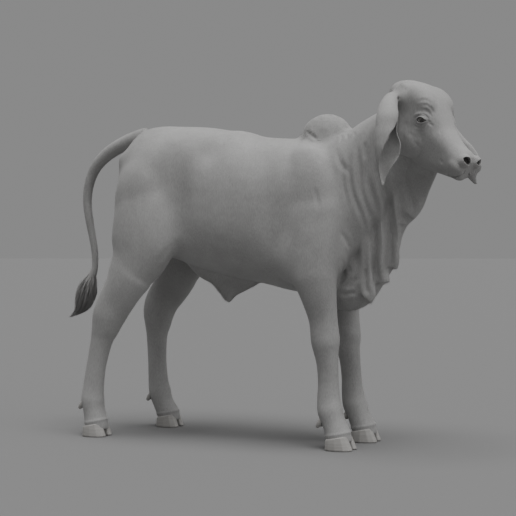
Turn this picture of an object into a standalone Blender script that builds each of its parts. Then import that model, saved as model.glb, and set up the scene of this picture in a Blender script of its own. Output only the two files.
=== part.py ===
"""A young Brahman bull, standing, at life size, as a museum model would show it.

The animal faces +X and its left side is +Y. Lengths are in metres and the hooves stand on z = 0.
Places are given from a point on the floor midway between the fore feet and the hind feet, and
the finished pieces are then moved by ORIGIN, so that the model's own origin lies on the floor
under the middle of its outline.
"""

import math
import random

import bmesh
import bpy
import numpy as np
from mathutils import Matrix, Vector

# Driving sizes
GAP = 0.0003                 # clearance between touching pieces
FLOOR = 0.005                # height of the floor in the lists of places below
ORIGIN = Vector((0.098, -0.027, FLOOR))
MASS_VOXEL = 0.013           # grid of the first, soft blending of the big muscles
SKIN_VOXEL = 0.0045          # grid of the whole skin
SKIN_FACES = 7000            # triangles of the whole skin once thinned
FINE_ROUND_EYE = 0.034       # and its triangles are smaller this near to an eye

HEAD_YAW = math.radians(-20.6)
HEAD_PITCH = math.radians(46.0)
POLL = Vector((0.692, -0.06, 1.294))
EYE_RADIUS = 0.0185
EYE_PLACE = Vector((0.177, 0.0665, -0.035))
EYE_SLANT = math.radians(44)   # the eye's long axis rises towards the muzzle by this much
LID = 0.0035                 # thickness of the lids over the eyeball
EYE_REACH = 0.030            # the lids and their folds fade into the face at this distance
EYE_FORMS = [                # level = a + b x + c x x over the eye, ends, width, height of a ridge
    ((0.0220, 0.00, -7.0), (-0.030, 0.034), 0.0065, 0.0034),     # brow
    ((0.0145, 0.00, -14.0), (-0.020, 0.020), 0.0016, -0.0014),   # fold of the upper lid
    ((-0.0150, 0.05, 8.0), (-0.024, 0.026), 0.0020, -0.0014),    # fold of the lower lid
    ((-0.0025, -0.10, 0.0), (0.022, 0.048), 0.0026, -0.0040),    # groove from the inner corner
]
EAR_THICKNESS = 0.0042
HOOF_GAP = 0.012             # cleft between the two claws of a foot
SHARP_ANGLE = math.radians(45)

FRONT_FEET = {"right": (0.444, -0.113), "left": (0.457, 0.114)}
HIND_FEET = {"right": (-0.516, -0.1725), "left": (-0.390, 0.172)}
SIDES = {"right": -1.0, "left": 1.0}

HEAD = (Matrix.Translation(POLL) @ Matrix.Rotation(HEAD_YAW, 4, "Z")
        @ Matrix.Rotation(HEAD_PITCH, 4, "Y"))


# Drawing with rings


def smooth_rows(rows, step):
    """Catmull-Rom curve through rows whose first three values are a place, read every step."""
    rows = np.array(rows, dtype=float)
    ends = np.vstack([2 * rows[0] - rows[1], rows, 2 * rows[-1] - rows[-2]])
    out = []
    for a, b, c, d in zip(ends, ends[1:], ends[2:], ends[3:]):
        count = max(1, round(float(np.linalg.norm((c - b)[:3])) / step))
        for t in np.arange(count) / count:
            out.append(0.5 * (2 * b + (c - a) * t + (2 * a - 5 * b + 4 * c - d) * t * t
                              + (3 * b - a - 3 * c + d) * t ** 3))
    out.append(rows[-1])
    return np.array(out)


def loft(bm, rows, side=(0, 1, 0), sides=28, step=0.018, power=2.0, matrix=None, course=None):
    """A closed body through rings: (x, y, z, half width, reach outwards, reach back).

    Outwards is the tangent turned round the side vector: up on a body that runs forwards,
    forwards on a leg that runs down. The rings stand square to the line through their centres,
    or to the vector course where one is given.
    """
    stations = smooth_rows(rows, step)
    tangents = np.gradient(stations[:, :3], axis=0)
    if course:
        tangents[:] = course
    count = len(stations)
    verts = bmesh.ops.create_grid(bm, x_segments=count - 1, y_segments=sides, size=0.5)["verts"]
    side = Vector(side).normalized()
    for vert in verts:
        row = stations[round((vert.co.x + 0.5) * (count - 1))]
        tangent = Vector(tangents[round((vert.co.x + 0.5) * (count - 1))]).normalized()
        angle = (vert.co.y + 0.5) * 2 * math.pi
        across = (side - tangent * side.dot(tangent)).normalized()
        out = tangent.cross(across)
        cosine, sine = math.cos(angle), math.sin(angle)
        wide = math.copysign(abs(cosine) ** (2 / power), cosine) * row[3]
        high = math.copysign(abs(sine) ** (2 / power), sine) * (row[4] if sine > 0 else row[5])
        vert.co = Vector(row[:3]) + across * wide + out * high
        if matrix:
            vert.co = matrix @ vert.co
    bmesh.ops.remove_doubles(bm, verts=verts, dist=1e-5)
    open_edges = [edge for edge in bm.edges if edge.is_boundary]
    bmesh.ops.holes_fill(bm, edges=open_edges, sides=0)


def ellipsoid(bm, centre, radii, matrix=None, turn=0.0):
    """A ball stretched to three radii, turned about Y by turn."""
    place = Matrix.Translation(centre) @ Matrix.Rotation(turn, 4, "Y") @ Matrix.Diagonal((*radii, 1))
    bmesh.ops.create_icosphere(bm, subdivisions=3, radius=1.0, matrix=(matrix or Matrix()) @ place)


# Objects and modifiers


def new_object(name, bm):
    bmesh.ops.recalc_face_normals(bm, faces=bm.faces)
    mesh = bpy.data.meshes.new(name)
    bm.to_mesh(mesh)
    bm.free()
    obj = bpy.data.objects.new(name, mesh)
    bpy.context.scene.collection.objects.link(obj)
    return obj


def modified(obj, kind, **settings):
    """Adds one modifier and applies it at once."""
    modifier = obj.modifiers.new(kind.title(), kind)
    for key, value in settings.items():
        setattr(modifier, key, value)
    graph = bpy.context.evaluated_depsgraph_get()
    mesh = bpy.data.meshes.new_from_object(obj.evaluated_get(graph))
    obj.modifiers.clear()
    obj.data = mesh
    return obj


def copy_of(obj, name):
    twin = bpy.data.objects.new(name, obj.data.copy())
    bpy.context.scene.collection.objects.link(twin)
    return twin


def drop(*objects):
    for obj in objects:
        bpy.data.objects.remove(obj)


def keep_largest(obj):
    """Keeps the largest closed surface of a mesh and nothing else."""
    bm = bmesh.new()
    bm.from_mesh(obj.data)
    bmesh.ops.remove_doubles(bm, verts=bm.verts, dist=1e-6)
    bmesh.ops.dissolve_degenerate(bm, dist=1e-6, edges=bm.edges)
    bmesh.ops.triangulate(bm, faces=bm.faces)
    unseen = set(bm.verts)
    islands = []
    while unseen:
        front = [unseen.pop()]
        island = set(front)
        while front:
            for edge in front.pop().link_edges:
                for vert in edge.verts:
                    if vert in unseen:
                        unseen.discard(vert)
                        island.add(vert)
                        front.append(vert)
        islands.append(island)
    islands.sort(key=len, reverse=True)
    loose = [vert for island in islands[1:] for vert in island]
    bmesh.ops.delete(bm, geom=loose, context="VERTS")
    bmesh.ops.recalc_face_normals(bm, faces=bm.faces)
    bm.to_mesh(obj.data)
    bm.free()
    return obj


def boolean(obj, other, operation):
    modified(obj, "BOOLEAN", operation=operation, object=other, solver="EXACT")
    return keep_largest(obj)


# The soft masses of the body


def trunk(bm):
    """Barrel, rump and chest: (x, top, bottom, half width, level of the widest line)."""
    sections = [
        (-0.486, 1.070, 0.900, 0.066, 0.990),
        (-0.468, 1.112, 0.830, 0.106, 0.985),
        (-0.440, 1.146, 0.770, 0.134, 0.980),
        (-0.392, 1.174, 0.735, 0.156, 0.975),
        (-0.330, 1.188, 0.712, 0.172, 0.970),
        (-0.270, 1.192, 0.690, 0.176, 0.950),
        (-0.165, 1.184, 0.655, 0.178, 0.910),
        (-0.100, 1.173, 0.636, 0.183, 0.880),
        (-0.040, 1.159, 0.620, 0.188, 0.865),
        (0.025, 1.145, 0.603, 0.192, 0.855),
        (0.085, 1.130, 0.590, 0.192, 0.850),
        (0.166, 1.120, 0.570, 0.186, 0.850),
        (0.226, 1.116, 0.556, 0.176, 0.850),
        (0.300, 1.108, 0.547, 0.160, 0.850),
        (0.380, 1.095, 0.543, 0.138, 0.850),
        (0.440, 1.060, 0.560, 0.108, 0.850),
        (0.485, 1.000, 0.620, 0.070, 0.840),
    ]
    rows = [(x, 0, wide, half, top - wide, wide - bottom) for x, top, bottom, half, wide in sections]
    loft(bm, rows, sides=36, step=0.03, power=2.35)


def neck(bm):
    rows = [
        (0.300, 0.000, 0.860, 0.150, 0.240, 0.260),
        (0.420, 0.000, 0.930, 0.120, 0.205, 0.230),
        (0.520, -0.010, 1.010, 0.098, 0.160, 0.180),
        (0.600, -0.025, 1.090, 0.086, 0.118, 0.150),
        (0.660, -0.040, 1.150, 0.080, 0.084, 0.125),
        (0.698, -0.052, 1.185, 0.072, 0.058, 0.100),
    ]
    loft(bm, rows, step=0.03, power=2.2)


def big_muscles(bm):
    """Hump, shoulders, hips and pin bones as stretched balls sunk into the trunk."""
    ellipsoid(bm, (0.350, 0, 1.105), (0.108, 0.058, 0.098), turn=math.radians(-4))
    for side in SIDES.values():
        ellipsoid(bm, (0.335, side * 0.098, 0.860), (0.118, 0.072, 0.230), turn=math.radians(-12))
        ellipsoid(bm, (0.290, side * 0.118, 0.700), (0.110, 0.062, 0.120))
        ellipsoid(bm, (0.395, side * 0.085, 0.710), (0.075, 0.055, 0.110))
        ellipsoid(bm, (-0.215, side * 0.112, 1.078), (0.085, 0.036, 0.056))
        ellipsoid(bm, (-0.428, side * 0.086, 1.045), (0.046, 0.038, 0.048))
        ellipsoid(bm, (-0.338, side * 0.126, 0.900), (0.130, 0.068, 0.180), turn=math.radians(14))


def upper_limbs(bm):
    """Thighs and upper arms, blended into the trunk down to just below the belly."""
    for name, side in SIDES.items():
        reach = -0.012 if name == "right" else 0.004
        thigh = [
            (-0.326, side * 0.105, 1.000, 0.060, 0.130, 0.126),
            (-0.318, side * 0.130, 0.850, 0.075, 0.150, 0.146),
            (-0.318 + reach, side * 0.146, 0.750, 0.074, 0.140, 0.138),
            (-0.332 + reach, side * 0.156, 0.670, 0.064, 0.112, 0.118),
            (-0.366 + reach * 2, side * 0.166, 0.600, 0.053, 0.080, 0.088),
            (-0.392 + reach * 2, side * 0.170, 0.550, 0.040, 0.056, 0.064),
        ]
        loft(bm, thigh, step=0.03, power=2.1)
        foot_x, foot_y = FRONT_FEET[name]
        arm = [(foot_x + line, foot_y + side * 0.017, *size)
               for line, size in zip(FORE_LINES[name][:4], FORE_SIZES[:4])]
        loft(bm, arm, step=0.03, power=2.1)


# The legs below the body: a centre line for each foot and one shared table of sizes

FORE_SIZES = [  # height, half width, reach forwards, reach back
    (0.860, 0.045, 0.100, 0.100),
    (0.730, 0.058, 0.096, 0.100),
    (0.620, 0.060, 0.079, 0.088),
    (0.540, 0.054, 0.062, 0.068),
    (0.460, 0.043, 0.051, 0.053),
    (0.386, 0.047, 0.051, 0.052),
    (0.345, 0.041, 0.042, 0.046),
    (0.305, 0.035, 0.037, 0.041),
    (0.240, 0.031, 0.036, 0.039),
    (0.180, 0.035, 0.040, 0.043),
    (0.140, 0.043, 0.044, 0.046),
    (0.100, 0.043, 0.040, 0.042),
    (0.055, 0.048, 0.044, 0.044),
    (0.030, 0.049, 0.044, 0.044),
]
FORE_LINES = {  # place of the centre line from the foot, at the same heights
    "right": [-0.105, -0.098, -0.086, -0.071, -0.059, -0.053, -0.049, -0.045, -0.042, -0.041,
              -0.036, -0.022, -0.006, -0.002],
    "left": [-0.118, -0.111, -0.100, -0.088, -0.078, -0.070, -0.064, -0.057, -0.051, -0.046,
             -0.038, -0.023, -0.004, 0.000],
}
HIND_SIZES = [
    (0.620, 0.056, 0.090, 0.098),
    (0.572, 0.049, 0.082, 0.078),
    (0.507, 0.044, 0.074, 0.072),
    (0.458, 0.044, 0.069, 0.064),
    (0.410, 0.039, 0.058, 0.052),
    (0.363, 0.033, 0.044, 0.043),
    (0.268, 0.031, 0.038, 0.039),
    (0.185, 0.035, 0.040, 0.042),
    (0.142, 0.041, 0.045, 0.044),
    (0.100, 0.041, 0.039, 0.041),
    (0.055, 0.046, 0.044, 0.042),
    (0.030, 0.047, 0.044, 0.042),
]
HIND_LINES = {
    "right": [0.150, 0.118, 0.077, 0.050, 0.034, 0.020, -0.002, -0.014, -0.018, -0.010, -0.002,
              0.000],
    "left": [0.040, 0.012, -0.034, -0.052, -0.056, -0.058, -0.056, -0.050, -0.044, -0.028, -0.006,
             -0.002],
}


def legs(bm):
    for name, (x, y) in FRONT_FEET.items():
        spread = [0.017, 0.017, 0.018, 0.014, 0.008, 0.003, 0.001, 0, 0, 0, 0, 0, 0, 0]
        rows = [(x + line, y + math.copysign(wide, y), *size)
                for line, wide, size in zip(FORE_LINES[name], spread, FORE_SIZES)][2:]
        loft(bm, rows, step=0.014, power=2.1)
        knee(bm, x + FORE_LINES[name][5], y)
    for name, (x, y) in HIND_FEET.items():
        rows = [(x + line, y - math.copysign(0.006 if size[0] > 0.6 else 0.0, y), *size)
                for line, size in zip(HIND_LINES[name], HIND_SIZES)]
        loft(bm, rows, step=0.014, power=2.1)
        hock(bm, x, y, HIND_LINES[name])


def knee(bm, x, y):
    ellipsoid(bm, (x + 0.010, y, 0.392), (0.040, 0.044, 0.052))
    ellipsoid(bm, (x - 0.036, y - math.copysign(0.006, y), 0.400), (0.020, 0.020, 0.030))


def hock(bm, x, y, line):
    """The point of the hock with the tendon that runs down to it."""
    rows = [
        (x + line[0] - 0.068, y, 0.640, 0.018, 0.020, 0.020),
        (x + line[1] - 0.062, y, 0.575, 0.014, 0.016, 0.016),
        (x + line[2] - 0.050, y, 0.515, 0.018, 0.020, 0.020),
        (x + line[3] - 0.036, y, 0.465, 0.020, 0.020, 0.020),
        (x + line[4] - 0.022, y, 0.410, 0.018, 0.020, 0.020),
    ]
    loft(bm, rows, sides=14, step=0.014)


def sheath(bm):
    """The long fold of skin under the belly that carries the sheath, down to its tip."""
    lows = [(-0.210, 0.050, 0.665), (-0.150, 0.040, 0.602), (-0.110, 0.035, 0.572),
            (-0.080, 0.032, 0.545), (-0.045, 0.027, 0.507), (-0.012, 0.028, 0.534),
            (0.030, 0.030, 0.554), (0.070, 0.030, 0.576), (0.125, 0.028, 0.606)]
    middle = 0.640
    rows = [(x, 0, middle, half, 0.040, middle - low) for x, half, low in lows]
    rows[0] = (-0.210, 0, 0.700, 0.050, 0.030, 0.035)
    loft(bm, rows, step=0.012, power=1.8)


DEWLAP_ROWS = [  # front edge (x, y, z), root (x, z), half thickness
    (0.772, -0.075, 0.965, 0.700, 1.050, 0.030),
    (0.748, -0.062, 0.908, 0.640, 0.990, 0.026),
    (0.722, -0.050, 0.846, 0.580, 0.940, 0.026),
    (0.672, -0.038, 0.800, 0.530, 0.890, 0.028),
    (0.638, -0.028, 0.742, 0.500, 0.830, 0.030),
    (0.620, -0.022, 0.678, 0.470, 0.760, 0.034),
    (0.604, -0.018, 0.640, 0.450, 0.710, 0.038),
    (0.578, -0.012, 0.596, 0.430, 0.670, 0.043),
    (0.530, -0.006, 0.530, 0.400, 0.640, 0.050),
    (0.478, 0.000, 0.506, 0.370, 0.620, 0.054),
    (0.421, 0.000, 0.515, 0.340, 0.620, 0.054),
    (0.370, 0.000, 0.532, 0.300, 0.640, 0.050),
]


def dewlap(bm):
    """The hanging skin from the throat to between the forelegs, as one thick blade."""
    rows = []
    for x, y, z, root_x, root_z, half in DEWLAP_ROWS:
        edge, root = Vector((x, y, z)), Vector((root_x, y * 0.6, root_z))
        middle = (edge + root) / 2
        reach = (edge - root).length / 2
        rows.append((*middle, half, reach, reach))
    loft(bm, rows, sides=32, step=0.018, power=1.8)


DEWLAP_FOLDS = [  # the hanging folds: y of each side, (x, z) down its ridge, reach and thickness
    (0.014, [(0.600, 0.980), (0.604, 0.860), (0.606, 0.777), (0.608, 0.711), (0.610, 0.672),
             (0.602, 0.646)], 0.023, 0.016),
    (0.026, [(0.556, 0.960), (0.553, 0.855), (0.556, 0.759), (0.561, 0.672), (0.572, 0.615),
             (0.577, 0.588)], 0.026, 0.017),
    (0.038, [(0.512, 0.900), (0.513, 0.780), (0.517, 0.662), (0.521, 0.590), (0.528, 0.552),
             (0.516, 0.534)], 0.026, 0.019),
    (0.020, [(0.744, 0.950), (0.722, 0.903), (0.700, 0.858), (0.676, 0.830)], 0.024, 0.018),
    (0.016, [(0.680, 0.905), (0.664, 0.860), (0.652, 0.828), (0.646, 0.797)], 0.020, 0.014),
    (0.034, [(0.452, 0.760), (0.456, 0.660), (0.460, 0.580), (0.450, 0.545)], 0.028, 0.018),
]
LEFT_FOLDS_BACK = 0.92       # the left folds hang this much of their spread further back


def dewlap_folds(bm):
    for side in SIDES.values():
        for y, ridge, reach, thick in DEWLAP_FOLDS:
            back = LEFT_FOLDS_BACK * y + 0.004 if side > 0 else 0.0
            rows = []
            for index, (x, z) in enumerate(ridge):
                swell = min(1.0, 0.45 + 0.2 * index)
                rows.append((x - back, side * y - 0.10 * max(0.0, z - 0.62) - 0.004, z,
                             thick * swell, reach * swell, reach * swell))
            loft(bm, rows, side=(0, 1, 0.001), sides=12, step=0.012)


# The head, in its own frame: x down the face from the poll, z out of the forehead


def head(bm):
    sections = [  # x, top, bottom, half width, level of the widest line
        (-0.024, -0.048, -0.110, 0.042, -0.074),
        (0.000, -0.012, -0.140, 0.064, -0.060),
        (0.030, 0.012, -0.160, 0.078, -0.050),
        (0.065, 0.031, -0.175, 0.087, -0.045),
        (0.105, 0.039, -0.186, 0.090, -0.040),
        (0.145, 0.032, -0.193, 0.087, -0.040),
        (0.185, 0.015, -0.195, 0.079, -0.045),
        (0.225, 0.000, -0.190, 0.068, -0.055),
        (0.265, -0.008, -0.175, 0.058, -0.060),
        (0.300, -0.013, -0.156, 0.052, -0.062),
        (0.335, -0.012, -0.134, 0.050, -0.062),
        (0.361, -0.009, -0.119, 0.049, -0.060),
        (0.381, -0.014, -0.108, 0.044, -0.058),
        (0.394, -0.028, -0.092, 0.035, -0.056),
    ]
    rows = [(x, 0, wide, half, top - wide, wide - bottom) for x, top, bottom, half, wide in sections]
    loft(bm, rows, sides=32, step=0.015, power=2.35, matrix=HEAD)
    for side in SIDES.values():
        forms = [
            ((0.150, side * 0.050, -0.120), (0.090, 0.038, 0.072)),    # cheek
            ((0.110, side * 0.046, -0.006), (0.075, 0.044, 0.046)),    # side of the forehead
            ((0.378, side * 0.030, -0.034), (0.024, 0.020, 0.025)),    # nostril wing
            ((0.362, side * 0.033, -0.066), (0.040, 0.020, 0.025)),    # upper lip
            ((0.050, side * 0.072, -0.046), (0.038, 0.028, 0.034)),    # root of the ear
            ((0.030, side * 0.064, -0.016), (0.020, 0.018, 0.020)),    # horn bud
        ]
        for centre, radii in forms:
            ellipsoid(bm, centre, radii, matrix=HEAD)
    ellipsoid(bm, (0.366, 0, -0.096), (0.034, 0.034, 0.019), matrix=HEAD)


TAIL_LINE = [(-0.390, 1.150), (-0.430, 1.143), (-0.499, 1.124), (-0.576, 1.085), (-0.629, 1.035),
             (-0.658, 0.972), (-0.667, 0.902), (-0.658, 0.832), (-0.643, 0.761), (-0.632, 0.698),
             (-0.632, 0.640), (-0.640, 0.605)]
TAIL_THICK = [0.038, 0.036, 0.031, 0.027, 0.023, 0.020, 0.018, 0.0165, 0.015, 0.014, 0.0135, 0.013]


def tail(bm):
    rows = [(x, 0, z, thick * 0.92, thick, thick) for (x, z), thick in zip(TAIL_LINE, TAIL_THICK)]
    loft(bm, rows, sides=20, step=0.014)


# Carving the skin: each form pushes points in or out by a soft fall-off


def bell(points, centre, radii):
    return np.exp(-0.5 * (((points - np.array(centre)) / np.array(radii)) ** 2).sum(axis=1))


BODY_FORMS = [  # centre (x, |y|, z), radii, push out along the surface
    ((-0.490, 0.120, 0.840), (0.050, 0.090, 0.120), -0.010),   # back of the thigh
    ((-0.060, 0.140, 1.060), (0.034, 0.050, 0.032), -0.008),   # hollow behind the last rib
    ((-0.215, 0.120, 0.990), (0.045, 0.050, 0.060), -0.016),   # hollow of the flank
    ((-0.160, 0.180, 0.860), (0.030, 0.060, 0.120), -0.010),   # in front of the thigh
    ((0.205, 0.190, 0.830), (0.028, 0.060, 0.130), -0.009),    # behind the shoulder
    ((-0.345, 0.190, 0.900), (0.060, 0.060, 0.110), 0.006),    # thigh muscle
    ((-0.160, 0.160, 0.690), (0.045, 0.060, 0.045), 0.012),    # flank fold
    ((-0.300, 0.000, 1.200), (0.080, 0.014, 0.040), -0.003),   # groove of the croup
    ((0.060, 0.190, 0.760), (0.100, 0.060, 0.080), 0.006),     # ribs
    ((0.255, 0.050, 1.110), (0.018, 0.060, 0.050), -0.006),    # behind the hump
    ((0.452, 0.050, 1.130), (0.018, 0.060, 0.050), -0.005),    # before the hump
]


def carve_body(points, normals):
    mirrored = points * (1, 0, 1) + np.abs(points) * (0, 1, 0)
    push = np.zeros(len(points))
    for centre, radii, height in BODY_FORMS:
        push += height * bell(mirrored, centre, radii)
    return points + normals * push[:, None]


HEAD_FORMS = [  # in the head's own frame
    ((0.235, 0.075, -0.020), (0.030, 0.030, 0.022), -0.007),   # below the inner corner of the eye
    ((0.110, 0.095, -0.060), (0.022, 0.030, 0.026), -0.006),   # temple
    ((0.290, 0.060, -0.100), (0.035, 0.030, 0.030), -0.006),   # before the cheek
    ((0.120, 0.060, 0.020), (0.040, 0.022, 0.030), 0.003),     # brow ridge
    ((0.345, 0.045, -0.020), (0.018, 0.022, 0.018), -0.003),   # above the nostril
]


def carve_head(points, normals):
    world = np.array(HEAD.inverted())
    local = points @ world[:3, :3].T + world[:3, 3]
    mirrored = local * (1, 0, 1) + np.abs(local) * (0, 1, 0)
    push = np.zeros(len(points))
    for centre, radii, height in HEAD_FORMS:
        push += height * bell(mirrored, centre, radii)
    return points + normals * push[:, None]


def higher(a, b, blend):
    """The larger of two surfaces, rounded where they meet."""
    return np.maximum(a, b) + np.maximum(blend - np.abs(a - b), 0) ** 2 / (4 * blend)


def carve_lids(points, normals):
    """Draws the skin over each eyeball as lids, with a brow above and a fold below them."""
    world = np.array(HEAD.inverted())
    local = points @ world[:3, :3].T + world[:3, 3]
    slant = (math.cos(EYE_SLANT), math.sin(EYE_SLANT))
    for side in SIDES.values():
        offset = (local - np.array(EYE_PLACE) * (1, side, 1)) * (1, side, 1)
        along = offset[:, 0] * slant[0] + offset[:, 2] * slant[1]
        above = offset[:, 2] * slant[0] - offset[:, 0] * slant[1]
        reach = along ** 2 + above ** 2
        near = np.exp(-(reach / EYE_REACH ** 2) ** 3) * (offset[:, 1] > -0.030)
        ball = np.sqrt(np.maximum((EYE_RADIUS + LID) ** 2 - reach, 0)) - (reach > EYE_REACH ** 2)
        lifted = higher(offset[:, 1], ball, 0.006)
        for line, ends, width, height in EYE_FORMS:
            level = line[0] + line[1] * along + line[2] * along ** 2
            middle, half = (ends[0] + ends[1]) / 2, (ends[1] - ends[0]) / 2
            fade = np.exp(-((along - middle) / half) ** 4)
            lifted += height * fade * np.exp(-((above - level) / width) ** 2)
        local[:, 1] += near * (lifted - offset[:, 1]) * side
    back = np.array(HEAD)
    return local @ back[:3, :3].T + back[:3, 3]


def carve(obj, function):
    count = len(obj.data.vertices)
    points, normals = np.empty(count * 3), np.empty(count * 3)
    obj.data.vertices.foreach_get("co", points)
    obj.data.vertex_normals.foreach_get("vector", normals)
    moved = function(points.reshape(-1, 3), normals.reshape(-1, 3))
    obj.data.vertices.foreach_set("co", moved.ravel())
    obj.data.update()
    return obj


SOFT_ZONES = [  # centre (x, |y|, z) and radii of the joins between the limbs and the trunk
    ((0.330, 0.120, 0.680), (0.130, 0.120, 0.120)),
    ((-0.330, 0.150, 0.660), (0.160, 0.120, 0.120)),
    ((0.345, 0.120, 0.585), (0.100, 0.100, 0.050)),
    ((-0.440, 0.000, 1.140), (0.060, 0.080, 0.060)),
    ((0.690, 0.060, 1.220), (0.060, 0.100, 0.090)),
    ((-0.080, 0.000, 0.620), (0.160, 0.080, 0.060)),
]


def soften(body):
    """Light smoothing all over, and more of it where the limbs join the trunk."""
    modified(body, "SMOOTH", factor=0.5, iterations=6)
    points = np.empty(len(body.data.vertices) * 3)
    body.data.vertices.foreach_get("co", points)
    mirrored = np.abs(points.reshape(-1, 3)) * (0, 1, 0) + points.reshape(-1, 3) * (1, 0, 1)
    weights = np.clip(sum(bell(mirrored, *zone) for zone in SOFT_ZONES) * 1.6, 0, 1)
    group = body.vertex_groups.new(name="soft")
    for step in range(1, 11):
        chosen = np.nonzero(np.round(weights * 10) == step)[0].tolist()
        group.add(chosen, step / 10, "REPLACE")
    modified(body, "SMOOTH", factor=0.5, iterations=40, vertex_group="soft")


def skin():
    """The whole skin as one closed surface, before it is parted."""
    bm = bmesh.new()
    trunk(bm)
    neck(bm)
    big_muscles(bm)
    upper_limbs(bm)
    masses = new_object("masses", bm)
    modified(masses, "REMESH", mode="VOXEL", voxel_size=MASS_VOXEL)
    modified(masses, "SMOOTH", factor=0.5, iterations=7)
    bm = bmesh.new()
    bm.from_mesh(masses.data)
    drop(masses)
    legs(bm)
    sheath(bm)
    dewlap(bm)
    dewlap_folds(bm)
    head(bm)
    tail(bm)
    body = new_object("skin", bm)
    modified(body, "REMESH", mode="VOXEL", voxel_size=SKIN_VOXEL)
    soften(body)
    carve(body, carve_body)
    carve(body, carve_head)
    return keep_largest(body)


# Parting the skin into named pieces


def box(low, high, matrix=None):
    bm = bmesh.new()
    middle = (Vector(low) + Vector(high)) / 2
    size = Vector(high) - Vector(low)
    place = (matrix or Matrix()) @ Matrix.Translation(middle) @ Matrix.Diagonal((*size, 1))
    bmesh.ops.create_cube(bm, size=1.0, matrix=place)
    cutter = new_object("cutter", bm)
    cutter.hide_render = True
    cutter.display_type = "WIRE"
    return cutter


def take(body, name, low, high, matrix=None):
    """Cuts the part of the body inside a box out as its own piece, and leaves GAP between them."""
    gap = Vector((GAP, GAP, GAP))
    inner = box(low, high, matrix)
    outer = box(Vector(low) - gap, Vector(high) + gap, matrix)
    piece = boolean(copy_of(body, name), inner, "INTERSECT")
    boolean(body, outer, "DIFFERENCE")
    drop(inner, outer)
    return piece


def facing(point, normal):
    """A frame at a point whose +Z is the normal, for a box that fills one side of a plane."""
    return Matrix.Translation(point) @ Vector(normal).to_track_quat("Z", "Y").to_matrix().to_4x4()


FAR = 2.0
TAIL_CUT_X = -0.516
TAIL_CUT_Z = 0.900
TAIL_SIDE = 0.060
THIGH_CUT_Z = 0.655
HOCK_CUT_Z = 0.400
FORE_CUTS = (("cannon_fore", 0.342, 0.052), ("forearm", 0.560, 0.066))   # top of each, inner side
FOREARM_FRONT_X = 0.520
HEAD_CUT = ((0.085, 0.0, -0.215), math.radians(-13.4))   # corner behind the jaw, in the head's frame
DEWLAP_CUT = ((0.725, 0.0, 0.960), (0.816, 0.0, -0.579))
NECK_CUT_X = 0.462
HUMP_CUT = (0.238, 1.119)
SHEATH_CUT = ((-0.170, 0.060), 0.598)
SHOULDER_CUT_X = 0.170
RUMP_CUT_X = -0.195


def part_the_skin(body):
    pieces = []
    pieces.append(take(body, "tail_lower", (-FAR, -TAIL_SIDE, 0.50), (-0.58, TAIL_SIDE, TAIL_CUT_Z)))
    pieces.append(take(body, "tail_upper", (-FAR, -TAIL_SIDE, 0.70), (TAIL_CUT_X, TAIL_SIDE, FAR)))
    for name, side in SIDES.items():
        y_range = sorted((side * 0.030, side * FAR))
        for part, low, high in (("cannon_hind", -FAR, HOCK_CUT_Z), ("thigh", -FAR, THIGH_CUT_Z)):
            pieces.append(take(body, f"{part}_{name}", (-FAR, y_range[0], low),
                               (RUMP_CUT_X, y_range[1], high)))
        for part, high, inner in FORE_CUTS:
            y_range = sorted((side * inner, side * FAR))
            pieces.append(take(body, f"{part}_{name}", (0.10, y_range[0], -FAR),
                               (FOREARM_FRONT_X, y_range[1], high)))
    corner = HEAD @ Matrix.Translation(HEAD_CUT[0]) @ Matrix.Rotation(HEAD_CUT[1], 4, "Y")
    pieces.append(take(body, "head", (0, -FAR, 0), (FAR, FAR, FAR), corner))
    pieces.append(take(body, "dewlap", (-FAR, -FAR, 0), (FAR, FAR, FAR), facing(*DEWLAP_CUT)))
    pieces.append(take(body, "neck", (NECK_CUT_X, -FAR, -FAR), (FAR, FAR, FAR)))
    pieces.append(take(body, "hump", (HUMP_CUT[0], -FAR, HUMP_CUT[1]), (FAR, FAR, FAR)))
    pieces.append(take(body, "sheath", (SHEATH_CUT[0][0], -FAR, -FAR),
                       (SHEATH_CUT[0][1], FAR, SHEATH_CUT[1])))
    pieces.append(take(body, "forequarters", (SHOULDER_CUT_X, -FAR, -FAR), (FAR, FAR, FAR)))
    pieces.append(take(body, "hindquarters", (-FAR, -FAR, -FAR), (RUMP_CUT_X, FAR, FAR)))
    body.name = "barrel"
    pieces.append(body)
    return {piece.name: piece for piece in pieces}


def grown(obj, amount):
    """A copy of a piece whose surface stands out by amount, to cut a neighbour with clearance."""
    twin = copy_of(obj, "grown")
    return carve(twin, lambda points, normals: points + normals * amount)


def clear_of(obj, neighbour):
    cutter = grown(neighbour, GAP)
    boolean(obj, cutter, "DIFFERENCE")
    drop(cutter)
    return obj


# Eyes, ears, nostrils and mouth


def ball(name, centre, radii, matrix, subdivisions=3):
    bm = bmesh.new()
    place = matrix @ Matrix.Translation(centre) @ Matrix.Diagonal((*radii, 1))
    bmesh.ops.create_icosphere(bm, subdivisions=subdivisions, radius=1.0, matrix=place)
    return new_object(name, bm)


MOUTH_LINE = [  # along the head: x and level of the line of the mouth, half width inside the lips
    (0.296, -0.108, 0.043), (0.318, -0.101, 0.042), (0.340, -0.092, 0.041), (0.360, -0.084, 0.038),
    (0.376, -0.080, 0.030), (0.384, -0.079, 0.018), (0.388, -0.079, 0.004),
]
MOUTH_OPENING = 0.0016       # half the width of the groove between the lips


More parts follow.
